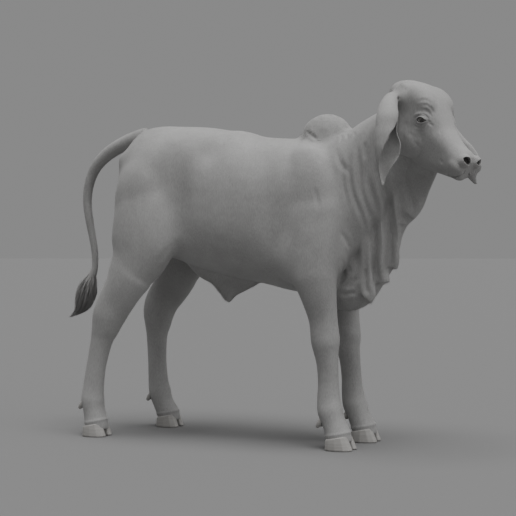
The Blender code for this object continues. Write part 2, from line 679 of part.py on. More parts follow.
def mouth_line(head_piece):
    """Cuts the groove between the lips: a thin blade round the muzzle that stops inside the lips."""
    bm = bmesh.new()
    blade = [(x, 0, z, 0.09, MOUTH_OPENING, MOUTH_OPENING) for x, z, _ in MOUTH_LINE]
    blade.append((0.43, 0, -0.078, 0.09, MOUTH_OPENING, MOUTH_OPENING))
    loft(bm, blade, sides=8, step=0.1, power=6.0, matrix=HEAD)
    groove = new_object("groove", bm)
    bm = bmesh.new()
    core = [(x, 0, z, half, 0.02, 0.02) for x, z, half in MOUTH_LINE]
    core.insert(0, (0.25, 0, -0.12, 0.043, 0.02, 0.02))
    loft(bm, core, sides=16, step=0.1, power=2.6, matrix=HEAD)
    inside = new_object("inside", bm)
    boolean(groove, inside, "DIFFERENCE")
    boolean(head_piece, groove, "DIFFERENCE")
    drop(groove, inside)


def finer_round_eyes(head_piece):
    bm = bmesh.new()
    bm.from_mesh(head_piece.data)
    centres = [HEAD @ (EYE_PLACE * Vector((1, side, 1))) for side in SIDES.values()]
    for _ in range(2):
        near = [edge for edge in bm.edges if edge.calc_length() > 0.006 and any(
            ((edge.verts[0].co + edge.verts[1].co) / 2 - eye).length < FINE_ROUND_EYE
            for eye in centres)]
        bmesh.ops.subdivide_edges(bm, edges=near, cuts=1)
        bmesh.ops.triangulate(bm, faces=bm.faces)
    bm.to_mesh(head_piece.data)
    bm.free()


def slit_of(side):
    """An almond between the lids, slanting up towards the muzzle."""
    middle = EYE_PLACE * Vector((1, side, 1)) + Vector((0.002, side * 0.026, 0.0))
    turn = Matrix.Rotation(-EYE_SLANT, 4, "Y")
    return ball("slit", (0, 0, 0), (0.0190, 0.022, 0.0082),
                HEAD @ Matrix.Translation(middle) @ turn, 2)


def carve_face(head_piece):
    """Opens the eye slits, the nostrils and the line of the mouth, and seats the eyeballs."""
    eyes = []
    finer_round_eyes(head_piece)
    carve(head_piece, carve_lids)
    mouth_line(head_piece)
    for name, side in SIDES.items():
        centre = EYE_PLACE * Vector((1, side, 1))
        slit = slit_of(side)
        socket = ball("socket", centre, [EYE_RADIUS + GAP] * 3, HEAD, 2)
        nostril = ball("nostril", (0.386, side * 0.036, -0.031), (0.016, 0.012, 0.009), HEAD, 2)
        for cutter in (slit, socket, nostril):
            boolean(head_piece, cutter, "DIFFERENCE")
            drop(cutter)
        eyes.append(ball(f"eye_{name}", centre, [EYE_RADIUS] * 3, HEAD, 2))
    return eyes


EAR_ROWS = [  # the ear's rear fold (x, y, z), half depth, half width, curl outside, curl inside
    (0.634, -0.122, 1.222, 0.022, 0.020, 172, 172),
    (0.624, -0.161, 1.222, 0.026, 0.022, 172, 172),
    (0.622, -0.198, 1.200, 0.031, 0.024, 172, 172),
    (0.622, -0.225, 1.176, 0.036, 0.025, 170, 172),
    (0.624, -0.245, 1.147, 0.037, 0.026, 168, 172),
    (0.625, -0.254, 1.116, 0.035, 0.026, 144, 178),
    (0.625, -0.260, 1.092, 0.038, 0.027, 109, 180),
    (0.625, -0.263, 1.068, 0.042, 0.027, 88, 180),
    (0.626, -0.265, 1.045, 0.043, 0.027, 72, 180),
    (0.629, -0.263, 1.016, 0.040, 0.026, 50, 178),
    (0.632, -0.260, 0.990, 0.032, 0.022, 34, 176),
    (0.636, -0.254, 0.962, 0.018, 0.015, 30, 174),
    (0.640, -0.251, 0.940, 0.009, 0.009, 30, 172),
    (0.645, -0.248, 0.917, 0.003, 0.003, 46, 172),
]
EAR_TURN = {"right": math.radians(24), "left": math.radians(-50)}   # long side of the section
EAR_STEP = 0.060
EAR_ACROSS = 10
LEFT_EAR_REACH = 0.090       # the left ear curves this much further forward at its tip
LEFT_EAR_SPREAD = 0.45       # and is this much broader at its tip
LEFT_EAR_TUCK = 0.090        # and lies this much closer to the cheek at its middle


def ear(side_name):
    """A long hanging leaf, rolled into a tube at its root and open towards the front."""
    stations = smooth_rows(EAR_ROWS, EAR_STEP)
    tangents = np.gradient(stations[:, :3], axis=0)
    count = len(stations)
    turn = EAR_TURN[side_name]
    bm = bmesh.new()
    verts = bmesh.ops.create_grid(bm, x_segments=count - 1, y_segments=EAR_ACROSS, size=0.5)["verts"]
    for vert in verts:
        index = round((vert.co.x + 0.5) * (count - 1))
        row = stations[index]
        down = Vector(tangents[index]).normalized()
        opening = Vector((math.cos(turn), math.sin(turn), 0))
        opening = (opening - down * opening.dot(down)).normalized()
        inward = opening.cross(down).normalized()
        depth = row[3]
        if side_name == "left":
            depth *= 1 + LEFT_EAR_SPREAD * (index / (count - 1)) ** 3
        share = vert.co.y + 0.5
        angle = math.radians(-row[5] + (row[5] + row[6]) * share)
        middle = Vector(row[:3]) + opening * depth
        vert.co = middle - opening * depth * math.cos(angle) + inward * row[4] * math.sin(angle)
    obj = new_object(f"ear_{side_name}", bm)
    modified(obj, "SOLIDIFY", thickness=EAR_THICKNESS, offset=0.0, use_even_offset=False)
    if side_name == "left":
        obj.data.transform(HEAD @ Matrix.Diagonal((1, -1, 1, 1)) @ HEAD.inverted())
        obj.data.flip_normals()
        top = max(vert.co.z for vert in obj.data.vertices)
        low = min(vert.co.z for vert in obj.data.vertices)
        for vert in obj.data.vertices:
            down = (top - vert.co.z) / (top - low)
            tuck = LEFT_EAR_TUCK * math.sin(math.pi * down ** 0.8)
            vert.co += Vector((LEFT_EAR_REACH * down ** 1.8 - 0.4 * tuck, -tuck, 0.020 * down ** 2))
    return keep_largest(obj)


# Hooves, dewclaws and the tail's switch


HOOF_RINGS = [  # height, half width, reach back, reach forwards, shift back, lean to the cleft
    (0.000, 0.0235, 0.043, 0.052, 0.000, 0.008),
    (0.004, 0.0255, 0.045, 0.055, 0.000, 0.009),
    (0.026, 0.0245, 0.043, 0.045, 0.001, 0.013),
    (0.046, 0.0220, 0.040, 0.034, 0.002, 0.016),
]
CORONET_TILT = 0.20          # rise of the coronet towards the toe


def hoof(name, x, y, size, cleft):
    """One claw. Its toe leans towards the cleft, where the claws of a foot stand side by side."""
    bm = bmesh.new()
    rows = [(x - shift * size, y, FLOOR + z, half * size, back * size, front * size)
            for z, half, back, front, shift, _ in HOOF_RINGS]
    loft(bm, rows, sides=12, step=1.0, power=2.3, course=(0, 0, 1))
    heights, leans = [ring[0] for ring in HOOF_RINGS], [ring[5] for ring in HOOF_RINGS]
    for vert in bm.verts:
        height = vert.co.z - FLOOR
        forward = max(0.0, (vert.co.x - x) / (0.050 * size))
        vert.co.y += cleft * float(np.interp(height, heights, leans)) * forward ** 1.3
        vert.co.z += (vert.co.x - x) * CORONET_TILT * max(0.0, height / heights[-1] - 0.3) / 0.7
    return new_object(name, bm)


def feet(pieces):
    made = []
    coronet = FLOOR + HOOF_RINGS[-1][0]
    for kind, table, size in (("fore", FRONT_FEET, 1.0), ("hind", HIND_FEET, 0.94)):
        for name, (x, y) in table.items():
            leg = pieces[f"cannon_{kind}_{name}"]
            tilt = Matrix.Rotation(-math.atan(CORONET_TILT), 4, "Y")
            plane = Matrix.Translation((x, y, coronet + GAP)) @ tilt
            cutter = box((-0.3, -0.2, -0.3), (0.3, 0.2, 0.0), plane)
            boolean(leg, cutter, "DIFFERENCE")
            drop(cutter)
            for claw, offset in (("inner", -1.0), ("outer", 1.0)):
                shift = math.copysign(0.0265 * size + HOOF_GAP / 2, y) * offset
                cleft = -math.copysign(1.0, shift)
                made.append(hoof(f"hoof_{kind}_{name}_{claw}", x, y + shift, size, cleft))
                knuckle = HIND_LINES[name][8] - 0.028
                made.append(dewclaw(f"dewclaw_{kind}_{name}_{claw}", leg, x, y + shift * 0.55, kind,
                                    knuckle))
    return made


def dewclaw(name, leg, x, y, kind, knuckle):
    """A small blunt horn behind the fetlock, pointing down and back."""
    root = Vector((x - 0.060, y, 0.107) if kind == "fore" else (x + knuckle, y, 0.132))
    tip = root + Vector((-0.022, 0.0, -0.026))
    bm = bmesh.new()
    rows = [(*root.lerp(tip, t), r, r, r) for t, r in ((0, 0.012), (0.5, 0.011), (0.9, 0.007),
                                                       (1.0, 0.004))]
    loft(bm, rows, sides=9, step=1.0)
    return clear_of(new_object(name, bm), leg)


SWITCH_AXIS = [  # place, and the radius of the hair's outline round it
    (-0.634, 0.0, 0.640, 0.013),
    (-0.645, 0.0, 0.612, 0.024),
    (-0.661, 0.0, 0.578, 0.038),
    (-0.671, 0.0, 0.543, 0.044),
    (-0.681, 0.0, 0.505, 0.040),
    (-0.697, 0.0, 0.470, 0.027),
    (-0.748, 0.0, 0.440, 0.008),
]
SWITCH_LOCKS = 16


def switch(tail_piece):
    """The brush of the tail: a short core and flat locks that bend along it and sweep back."""
    line = smooth_rows(SWITCH_AXIS, 0.008)
    bm = bmesh.new()
    core = [(*row[:3], *[max(0.010, row[3] * 0.62)] * 3) for row in line[: round(len(line) * 0.5)]]
    loft(bm, core[::3] + [core[-1]], sides=12, step=0.02)
    core_piece = new_object("tail_switch", bm)
    rng = random.Random(7)
    locks = bpy.data.collections.new("locks")
    for index in range(SWITCH_LOCKS):
        angle = index * 2.39996 + rng.uniform(-0.2, 0.2)
        inner = index % 3 == 0
        first = rng.uniform(0.25, 0.35) if inner else rng.uniform(0.03, 0.25)
        last = 1.0 if inner else min(0.97, first + rng.uniform(0.58, 0.74))
        rows = []
        for step in range(4):
            share = step / 3
            row = line[round((first + (last - first) * share) * (len(line) - 1))]
            radius = row[3] * (0.35 + 0.62 * min(1.0, share * 2.2)) * (1.0 - 0.25 * share)
            radius *= 0.55 if inner else 1.0
            width = 0.0145 * (1 - share) ** 0.6 + 0.001
            rows.append((row[0] + radius * math.cos(angle), radius * math.sin(angle), row[2],
                         width, width * 0.5, width * 0.5))
        bm = bmesh.new()
        loft(bm, rows, side=(-math.sin(angle), math.cos(angle), 0.001), sides=6, step=1.0)
        locks.objects.link(new_object("lock", bm))
    modified(core_piece, "BOOLEAN", operation="UNION", operand_type="COLLECTION",
             collection=locks, solver="EXACT")
    drop(*locks.objects)
    keep_largest(core_piece)
    return clear_of(core_piece, tail_piece)


# Finishes

COATS = {  # colour, roughness
    "coat": ((0.30, 0.29, 0.28), 0.80),
    "switch": ((0.16, 0.155, 0.15), 0.70),
    "horn": ((0.42, 0.40, 0.37), 0.45),
    "eye": ((0.10, 0.09, 0.085), 0.15),
}


def finish_of(name):
    if name.startswith(("hoof", "dewclaw")):
        return "horn"
    if name.startswith("eye"):
        return "eye"
    return "switch" if name == "tail_switch" else "coat"


def paint(obj):
    kind = finish_of(obj.name)
    material = bpy.data.materials.get(kind)
    if material is None:
        colour, roughness = COATS[kind]
        material = bpy.data.materials.new(kind)
        material.use_nodes = True
        shader = material.node_tree.nodes["Principled BSDF"]
        shader.inputs["Base Color"].default_value = (*colour, 1.0)
        shader.inputs["Roughness"].default_value = roughness
    obj.data.materials.clear()
    obj.data.materials.append(material)
    for polygon in obj.data.polygons:
        polygon.use_smooth = True
    obj.data.set_sharp_from_angle(angle=SHARP_ANGLE)


def remove_everything():
    for obj in list(bpy.data.objects):
        bpy.data.objects.remove(obj)


def build():
    remove_everything()
    body = skin()
    body.data.calc_loop_triangles()
    modified(body, "DECIMATE", ratio=SKIN_FACES / len(body.data.loop_triangles))
    pieces = part_the_skin(body)
    made = list(pieces.values())
    made += carve_face(pieces["head"])
    for side_name in SIDES:
        leaf = clear_of(ear(side_name), pieces["head"])
        made.append(clear_of(leaf, pieces["neck"]))
    made += feet(pieces)
    made.append(switch(pieces["tail_lower"]))
    for obj in made:
        obj.data.transform(Matrix.Translation(-ORIGIN))
        paint(obj)


build()
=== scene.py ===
import math
import random

import bmesh
import bpy
import numpy as np
from mathutils import Matrix, Vector
from mathutils.bvhtree import BVHTree
from mathutils.kdtree import KDTree


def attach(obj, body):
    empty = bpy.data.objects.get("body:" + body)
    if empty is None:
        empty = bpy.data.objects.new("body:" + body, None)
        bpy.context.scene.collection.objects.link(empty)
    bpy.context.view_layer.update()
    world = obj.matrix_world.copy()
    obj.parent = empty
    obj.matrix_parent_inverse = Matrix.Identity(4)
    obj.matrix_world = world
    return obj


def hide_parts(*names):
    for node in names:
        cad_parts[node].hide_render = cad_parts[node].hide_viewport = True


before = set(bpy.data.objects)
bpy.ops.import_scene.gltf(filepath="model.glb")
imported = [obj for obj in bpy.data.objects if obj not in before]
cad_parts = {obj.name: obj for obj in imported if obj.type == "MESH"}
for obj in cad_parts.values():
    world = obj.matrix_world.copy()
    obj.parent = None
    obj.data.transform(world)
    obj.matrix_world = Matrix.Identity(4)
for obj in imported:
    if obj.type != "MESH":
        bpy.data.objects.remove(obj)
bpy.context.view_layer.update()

# %% [markdown]
# A young Brahman bull stands with its right hind leg set back and its head turned a little to its
# right. The breed shows in the hump over the shoulders, the long hanging ears and the loose folded
# skin of the throat and brisket. The solids already hold these forms. This script dresses them:
# one skin over the whole body, eyes, hooves, dewclaws, the brush of the tail and the coat.

# %% Sizes that everything follows
FLOOR = 0.005                # height of the floor in the lists of places below
ORIGIN = Vector((0.098, -0.027, FLOOR))
MASS_VOXEL = 0.013           # grid of the first, soft blending of the big muscles

HEAD_YAW = math.radians(-20.6)
HEAD_PITCH = math.radians(46.0)
POLL = Vector((0.692, -0.06, 1.294))
EYE_RADIUS = 0.0185
EYE_PLACE = Vector((0.177, 0.0665, -0.035))
EYE_SLANT = math.radians(44)   # the eye's long axis rises towards the muzzle by this much
LID = 0.0035                 # thickness of the lids over the eyeball
EYE_REACH = 0.030            # the lids and their folds fade into the face at this distance
EYE_FORMS = [                # level = a + b x + c x x over the eye, ends, width, height of a ridge
    ((0.0220, 0.00, -7.0), (-0.030, 0.034), 0.0065, 0.0034),     # brow
    ((0.0145, 0.00, -14.0), (-0.020, 0.020), 0.0016, -0.0014),   # fold of the upper lid
    ((-0.0150, 0.05, 8.0), (-0.024, 0.026), 0.0020, -0.0014),    # fold of the lower lid
    ((-0.0025, -0.10, 0.0), (0.022, 0.048), 0.0026, -0.0040),    # groove from the inner corner
]
EAR_THICKNESS = 0.0042

FRONT_FEET = {"right": (0.444, -0.113), "left": (0.457, 0.114)}
HIND_FEET = {"right": (-0.516, -0.1725), "left": (-0.390, 0.172)}
SIDES = {"right": -1.0, "left": 1.0}

HEAD = (Matrix.Translation(POLL) @ Matrix.Rotation(HEAD_YAW, 4, "Z")
        @ Matrix.Rotation(HEAD_PITCH, 4, "Y"))

# %% [markdown]
# A body is easiest to describe as a row of rings along a line: each ring has a place, a half
# width and a reach to either side. One helper draws any limb that way. It starts from a grid,
# bends the grid into rings with a smooth curve between the given ones, and closes the ends.

# %% Drawing with rings
def smooth_rows(rows, step):
    """Catmull-Rom curve through rows whose first three values are a place, read every step."""
    rows = np.array(rows, dtype=float)
    ends = np.vstack([2 * rows[0] - rows[1], rows, 2 * rows[-1] - rows[-2]])
    out = []
    for a, b, c, d in zip(ends, ends[1:], ends[2:], ends[3:]):
        count = max(1, round(float(np.linalg.norm((c - b)[:3])) / step))
        for t in np.arange(count) / count:
            out.append(0.5 * (2 * b + (c - a) * t + (2 * a - 5 * b + 4 * c - d) * t * t
                              + (3 * b - a - 3 * c + d) * t ** 3))
    out.append(rows[-1])
    return np.array(out)


def loft(bm, rows, side=(0, 1, 0), sides=28, step=0.018, power=2.0, matrix=None, course=None):
    """A closed body through rings: (x, y, z, half width, reach outwards, reach back).

    Outwards is the tangent turned round the side vector: up on a body that runs forwards,
    forwards on a leg that runs down. The rings stand square to the line through their centres,
    or to the vector course where one is given.
    """
    stations = smooth_rows(rows, step)
    tangents = np.gradient(stations[:, :3], axis=0)
    if course:
        tangents[:] = course
    count = len(stations)
    verts = bmesh.ops.create_grid(bm, x_segments=count - 1, y_segments=sides, size=0.5)["verts"]
    side = Vector(side).normalized()
    for vert in verts:
        row = stations[round((vert.co.x + 0.5) * (count - 1))]
        tangent = Vector(tangents[round((vert.co.x + 0.5) * (count - 1))]).normalized()
        angle = (vert.co.y + 0.5) * 2 * math.pi
        across = (side - tangent * side.dot(tangent)).normalized()
        out = tangent.cross(across)
        cosine, sine = math.cos(angle), math.sin(angle)
        wide = math.copysign(abs(cosine) ** (2 / power), cosine) * row[3]
        high = math.copysign(abs(sine) ** (2 / power), sine) * (row[4] if sine > 0 else row[5])
        vert.co = Vector(row[:3]) + across * wide + out * high
        if matrix:
            vert.co = matrix @ vert.co
    bmesh.ops.remove_doubles(bm, verts=verts, dist=1e-5)
    open_edges = [edge for edge in bm.edges if edge.is_boundary]
    bmesh.ops.holes_fill(bm, edges=open_edges, sides=0)


def ellipsoid(bm, centre, radii, matrix=None, turn=0.0):
    """A ball stretched to three radii, turned about Y by turn."""
    place = Matrix.Translation(centre) @ Matrix.Rotation(turn, 4, "Y") @ Matrix.Diagonal((*radii, 1))
    bmesh.ops.create_icosphere(bm, subdivisions=3, radius=1.0, matrix=(matrix or Matrix()) @ place)

# %% [markdown]
# Pieces are made as meshes at the origin, and every modifier is applied as soon as it is set.

# %% Objects and modifiers
def new_object(name, bm):
    bmesh.ops.recalc_face_normals(bm, faces=bm.faces)
    mesh = bpy.data.meshes.new(name)
    bm.to_mesh(mesh)
    bm.free()
    obj = bpy.data.objects.new(name, mesh)
    bpy.context.scene.collection.objects.link(obj)
    return obj


def modified(obj, kind, **settings):
    """Adds one modifier and applies it at once."""
    modifier = obj.modifiers.new(kind.title(), kind)
    for key, value in settings.items():
        setattr(modifier, key, value)
    graph = bpy.context.evaluated_depsgraph_get()
    mesh = bpy.data.meshes.new_from_object(obj.evaluated_get(graph))
    obj.modifiers.clear()
    obj.data = mesh
    return obj


def copy_of(obj, name):
    twin = bpy.data.objects.new(name, obj.data.copy())
    bpy.context.scene.collection.objects.link(twin)
    return twin


def drop(*objects):
    for obj in objects:
        bpy.data.objects.remove(obj)


def keep_largest(obj):
    """Keeps the largest closed surface of a mesh and nothing else."""
    bm = bmesh.new()
    bm.from_mesh(obj.data)
    bmesh.ops.remove_doubles(bm, verts=bm.verts, dist=1e-6)
    bmesh.ops.dissolve_degenerate(bm, dist=1e-6, edges=bm.edges)
    bmesh.ops.triangulate(bm, faces=bm.faces)
    unseen = set(bm.verts)
    islands = []
    while unseen:
        front = [unseen.pop()]
        island = set(front)
        while front:
            for edge in front.pop().link_edges:
                for vert in edge.verts:
                    if vert in unseen:
                        unseen.discard(vert)
                        island.add(vert)
                        front.append(vert)
        islands.append(island)
    islands.sort(key=len, reverse=True)
    loose = [vert for island in islands[1:] for vert in island]
    bmesh.ops.delete(bm, geom=loose, context="VERTS")
    bmesh.ops.recalc_face_normals(bm, faces=bm.faces)
    bm.to_mesh(obj.data)
    bm.free()
    return obj

# %% [markdown]
# The big masses come first: the barrel, the neck, and balls for the hump, shoulder, hip and
# haunch. They are drawn roughly, because a coarse voxel remesh and a little smoothing then melt
# them together, the way skin stretched over muscle does.

# %% Barrel, neck and big muscles
def trunk(bm):
    """Barrel, rump and chest: (x, top, bottom, half width, level of the widest line)."""
    sections = [
        (-0.486, 1.070, 0.900, 0.066, 0.990),
        (-0.468, 1.112, 0.830, 0.106, 0.985),
        (-0.440, 1.146, 0.770, 0.134, 0.980),
        (-0.392, 1.174, 0.735, 0.156, 0.975),
        (-0.330, 1.188, 0.712, 0.172, 0.970),
        (-0.270, 1.192, 0.690, 0.176, 0.950),
        (-0.165, 1.184, 0.655, 0.178, 0.910),
        (-0.100, 1.173, 0.636, 0.183, 0.880),
        (-0.040, 1.159, 0.620, 0.188, 0.865),
        (0.025, 1.145, 0.603, 0.192, 0.855),
        (0.085, 1.130, 0.590, 0.192, 0.850),
        (0.166, 1.120, 0.570, 0.186, 0.850),
        (0.226, 1.116, 0.556, 0.176, 0.850),
        (0.300, 1.108, 0.547, 0.160, 0.850),
        (0.380, 1.095, 0.543, 0.138, 0.850),
        (0.440, 1.060, 0.560, 0.108, 0.850),
        (0.485, 1.000, 0.620, 0.070, 0.840),
    ]
    rows = [(x, 0, wide, half, top - wide, wide - bottom) for x, top, bottom, half, wide in sections]
    loft(bm, rows, sides=36, step=0.03, power=2.35)


def neck(bm):
    rows = [
        (0.300, 0.000, 0.860, 0.150, 0.240, 0.260),
        (0.420, 0.000, 0.930, 0.120, 0.205, 0.230),
        (0.520, -0.010, 1.010, 0.098, 0.160, 0.180),
        (0.600, -0.025, 1.090, 0.086, 0.118, 0.150),
        (0.660, -0.040, 1.150, 0.080, 0.084, 0.125),
        (0.698, -0.052, 1.185, 0.072, 0.058, 0.100),
    ]
    loft(bm, rows, step=0.03, power=2.2)


def big_muscles(bm):
    """Hump, shoulders, hips and pin bones as stretched balls sunk into the trunk."""
    ellipsoid(bm, (0.350, 0, 1.105), (0.108, 0.058, 0.098), turn=math.radians(-4))
    for side in SIDES.values():
        ellipsoid(bm, (0.335, side * 0.098, 0.860), (0.118, 0.072, 0.230), turn=math.radians(-12))
        ellipsoid(bm, (0.290, side * 0.118, 0.700), (0.110, 0.062, 0.120))
        ellipsoid(bm, (0.395, side * 0.085, 0.710), (0.075, 0.055, 0.110))
        ellipsoid(bm, (-0.215, side * 0.112, 1.078), (0.085, 0.036, 0.056))
        ellipsoid(bm, (-0.428, side * 0.086, 1.045), (0.046, 0.038, 0.048))
        ellipsoid(bm, (-0.338, side * 0.126, 0.900), (0.130, 0.068, 0.180), turn=math.radians(14))


def upper_limbs(bm):
    """Thighs and upper arms, blended into the trunk down to just below the belly."""
    for name, side in SIDES.items():
        reach = -0.012 if name == "right" else 0.004
        thigh = [
            (-0.326, side * 0.105, 1.000, 0.060, 0.130, 0.126),
            (-0.318, side * 0.130, 0.850, 0.075, 0.150, 0.146),
            (-0.318 + reach, side * 0.146, 0.750, 0.074, 0.140, 0.138),
            (-0.332 + reach, side * 0.156, 0.670, 0.064, 0.112, 0.118),
            (-0.366 + reach * 2, side * 0.166, 0.600, 0.053, 0.080, 0.088),
            (-0.392 + reach * 2, side * 0.170, 0.550, 0.040, 0.056, 0.064),
        ]
        loft(bm, thigh, step=0.03, power=2.1)
        foot_x, foot_y = FRONT_FEET[name]
        arm = [(foot_x + line, foot_y + side * 0.017, *size)
               for line, size in zip(FORE_LINES[name][:4], FORE_SIZES[:4])]
        loft(bm, arm, step=0.03, power=2.1)

# %% [markdown]
# Legs are read from tables, one row for each height from the shoulder or hip to the hoof. The
# sheath and the dewlap are folds of loose skin, so they are thin blades with soft hanging folds.

# %% Legs, sheath and dewlap
FORE_SIZES = [  # height, half width, reach forwards, reach back
    (0.860, 0.045, 0.100, 0.100),
    (0.730, 0.058, 0.096, 0.100),
    (0.620, 0.060, 0.079, 0.088),
    (0.540, 0.054, 0.062, 0.068),
    (0.460, 0.043, 0.051, 0.053),
    (0.386, 0.047, 0.051, 0.052),
    (0.345, 0.041, 0.042, 0.046),
    (0.305, 0.035, 0.037, 0.041),
    (0.240, 0.031, 0.036, 0.039),
    (0.180, 0.035, 0.040, 0.043),
    (0.140, 0.043, 0.044, 0.046),
    (0.100, 0.043, 0.040, 0.042),
    (0.055, 0.048, 0.044, 0.044),
    (0.030, 0.049, 0.044, 0.044),
]
FORE_LINES = {  # place of the centre line from the foot, at the same heights
    "right": [-0.105, -0.098, -0.086, -0.071, -0.059, -0.053, -0.049, -0.045, -0.042, -0.041,
              -0.036, -0.022, -0.006, -0.002],
    "left": [-0.118, -0.111, -0.100, -0.088, -0.078, -0.070, -0.064, -0.057, -0.051, -0.046,
             -0.038, -0.023, -0.004, 0.000],
}
HIND_SIZES = [
    (0.620, 0.056, 0.090, 0.098),
    (0.572, 0.049, 0.082, 0.078),
    (0.507, 0.044, 0.074, 0.072),
    (0.458, 0.044, 0.069, 0.064),
    (0.410, 0.039, 0.058, 0.052),
    (0.363, 0.033, 0.044, 0.043),
    (0.268, 0.031, 0.038, 0.039),
    (0.185, 0.035, 0.040, 0.042),
    (0.142, 0.041, 0.045, 0.044),
    (0.100, 0.041, 0.039, 0.041),
    (0.055, 0.046, 0.044, 0.042),
    (0.030, 0.047, 0.044, 0.042),
]
HIND_LINES = {
    "right": [0.150, 0.118, 0.077, 0.050, 0.034, 0.020, -0.002, -0.014, -0.018, -0.010, -0.002,
              0.000],
    "left": [0.040, 0.012, -0.034, -0.052, -0.056, -0.058, -0.056, -0.050, -0.044, -0.028, -0.006,
             -0.002],
}


def legs(bm):
    for name, (x, y) in FRONT_FEET.items():
        spread = [0.017, 0.017, 0.018, 0.014, 0.008, 0.003, 0.001, 0, 0, 0, 0, 0, 0, 0]
        rows = [(x + line, y + math.copysign(wide, y), *size)
                for line, wide, size in zip(FORE_LINES[name], spread, FORE_SIZES)][2:]
        loft(bm, rows, step=0.014, power=2.1)
        knee(bm, x + FORE_LINES[name][5], y)
    for name, (x, y) in HIND_FEET.items():
        rows = [(x + line, y - math.copysign(0.006 if size[0] > 0.6 else 0.0, y), *size)
                for line, size in zip(HIND_LINES[name], HIND_SIZES)]
        loft(bm, rows, step=0.014, power=2.1)
        hock(bm, x, y, HIND_LINES[name])


def knee(bm, x, y):
    ellipsoid(bm, (x + 0.010, y, 0.392), (0.040, 0.044, 0.052))
    ellipsoid(bm, (x - 0.036, y - math.copysign(0.006, y), 0.400), (0.020, 0.020, 0.030))


def hock(bm, x, y, line):
    """The point of the hock with the tendon that runs down to it."""
    rows = [
        (x + line[0] - 0.068, y, 0.640, 0.018, 0.020, 0.020),
        (x + line[1] - 0.062, y, 0.575, 0.014, 0.016, 0.016),
        (x + line[2] - 0.050, y, 0.515, 0.018, 0.020, 0.020),
        (x + line[3] - 0.036, y, 0.465, 0.020, 0.020, 0.020),
        (x + line[4] - 0.022, y, 0.410, 0.018, 0.020, 0.020),
    ]
    loft(bm, rows, sides=14, step=0.014)


def sheath(bm):
    """The long fold of skin under the belly that carries the sheath, down to its tip."""
    lows = [(-0.210, 0.050, 0.665), (-0.150, 0.040, 0.602), (-0.110, 0.035, 0.572),
            (-0.080, 0.032, 0.545), (-0.045, 0.027, 0.507), (-0.012, 0.028, 0.534),
            (0.030, 0.030, 0.554), (0.070, 0.030, 0.576), (0.125, 0.028, 0.606)]
    middle = 0.640
    rows = [(x, 0, middle, half, 0.040, middle - low) for x, half, low in lows]
    rows[0] = (-0.210, 0, 0.700, 0.050, 0.030, 0.035)
    loft(bm, rows, step=0.012, power=1.8)


DEWLAP_ROWS = [  # front edge (x, y, z), root (x, z), half thickness
    (0.772, -0.075, 0.965, 0.700, 1.050, 0.030),
    (0.748, -0.062, 0.908, 0.640, 0.990, 0.026),
    (0.722, -0.050, 0.846, 0.580, 0.940, 0.026),
    (0.672, -0.038, 0.800, 0.530, 0.890, 0.028),
    (0.638, -0.028, 0.742, 0.500, 0.830, 0.030),
    (0.620, -0.022, 0.678, 0.470, 0.760, 0.034),
    (0.604, -0.018, 0.640, 0.450, 0.710, 0.038),
    (0.578, -0.012, 0.596, 0.430, 0.670, 0.043),
    (0.530, -0.006, 0.530, 0.400, 0.640, 0.050),
    (0.478, 0.000, 0.506, 0.370, 0.620, 0.054),
    (0.421, 0.000, 0.515, 0.340, 0.620, 0.054),
    (0.370, 0.000, 0.532, 0.300, 0.640, 0.050),
]


def dewlap(bm):
    """The hanging skin from the throat to between the forelegs, as one thick blade."""
    rows = []
    for x, y, z, root_x, root_z, half in DEWLAP_ROWS:
        edge, root = Vector((x, y, z)), Vector((root_x, y * 0.6, root_z))
        middle = (edge + root) / 2
        reach = (edge - root).length / 2
        rows.append((*middle, half, reach, reach))
    loft(bm, rows, sides=32, step=0.018, power=1.8)


DEWLAP_FOLDS = [  # the hanging folds: y of each side, (x, z) down its ridge, reach and thickness
    (0.014, [(0.600, 0.980), (0.604, 0.860), (0.606, 0.777), (0.608, 0.711), (0.610, 0.672),
             (0.602, 0.646)], 0.023, 0.016),
    (0.026, [(0.556, 0.960), (0.553, 0.855), (0.556, 0.759), (0.561, 0.672), (0.572, 0.615),
             (0.577, 0.588)], 0.026, 0.017),
    (0.038, [(0.512, 0.900), (0.513, 0.780), (0.517, 0.662), (0.521, 0.590), (0.528, 0.552),
             (0.516, 0.534)], 0.026, 0.019),
    (0.020, [(0.744, 0.950), (0.722, 0.903), (0.700, 0.858), (0.676, 0.830)], 0.024, 0.018),
    (0.016, [(0.680, 0.905), (0.664, 0.860), (0.652, 0.828), (0.646, 0.797)], 0.020, 0.014),
    (0.034, [(0.452, 0.760), (0.456, 0.660), (0.460, 0.580), (0.450, 0.545)], 0.028, 0.018),
]
LEFT_FOLDS_BACK = 0.92       # the left folds hang this much of their spread further back


def dewlap_folds(bm):
    for side in SIDES.values():
        for y, ridge, reach, thick in DEWLAP_FOLDS:
            back = LEFT_FOLDS_BACK * y + 0.004 if side > 0 else 0.0
            rows = []
            for index, (x, z) in enumerate(ridge):
                swell = min(1.0, 0.45 + 0.2 * index)
                rows.append((x - back, side * y - 0.10 * max(0.0, z - 0.62) - 0.004, z,
                             thick * swell, reach * swell, reach * swell))
            loft(bm, rows, side=(0, 1, 0.001), sides=12, step=0.012)

# %% [markdown]
# The head is drawn in a frame of its own, x down the face and z out of the forehead, so that the
# numbers stay those of a straight head. One matrix then lowers and turns it.

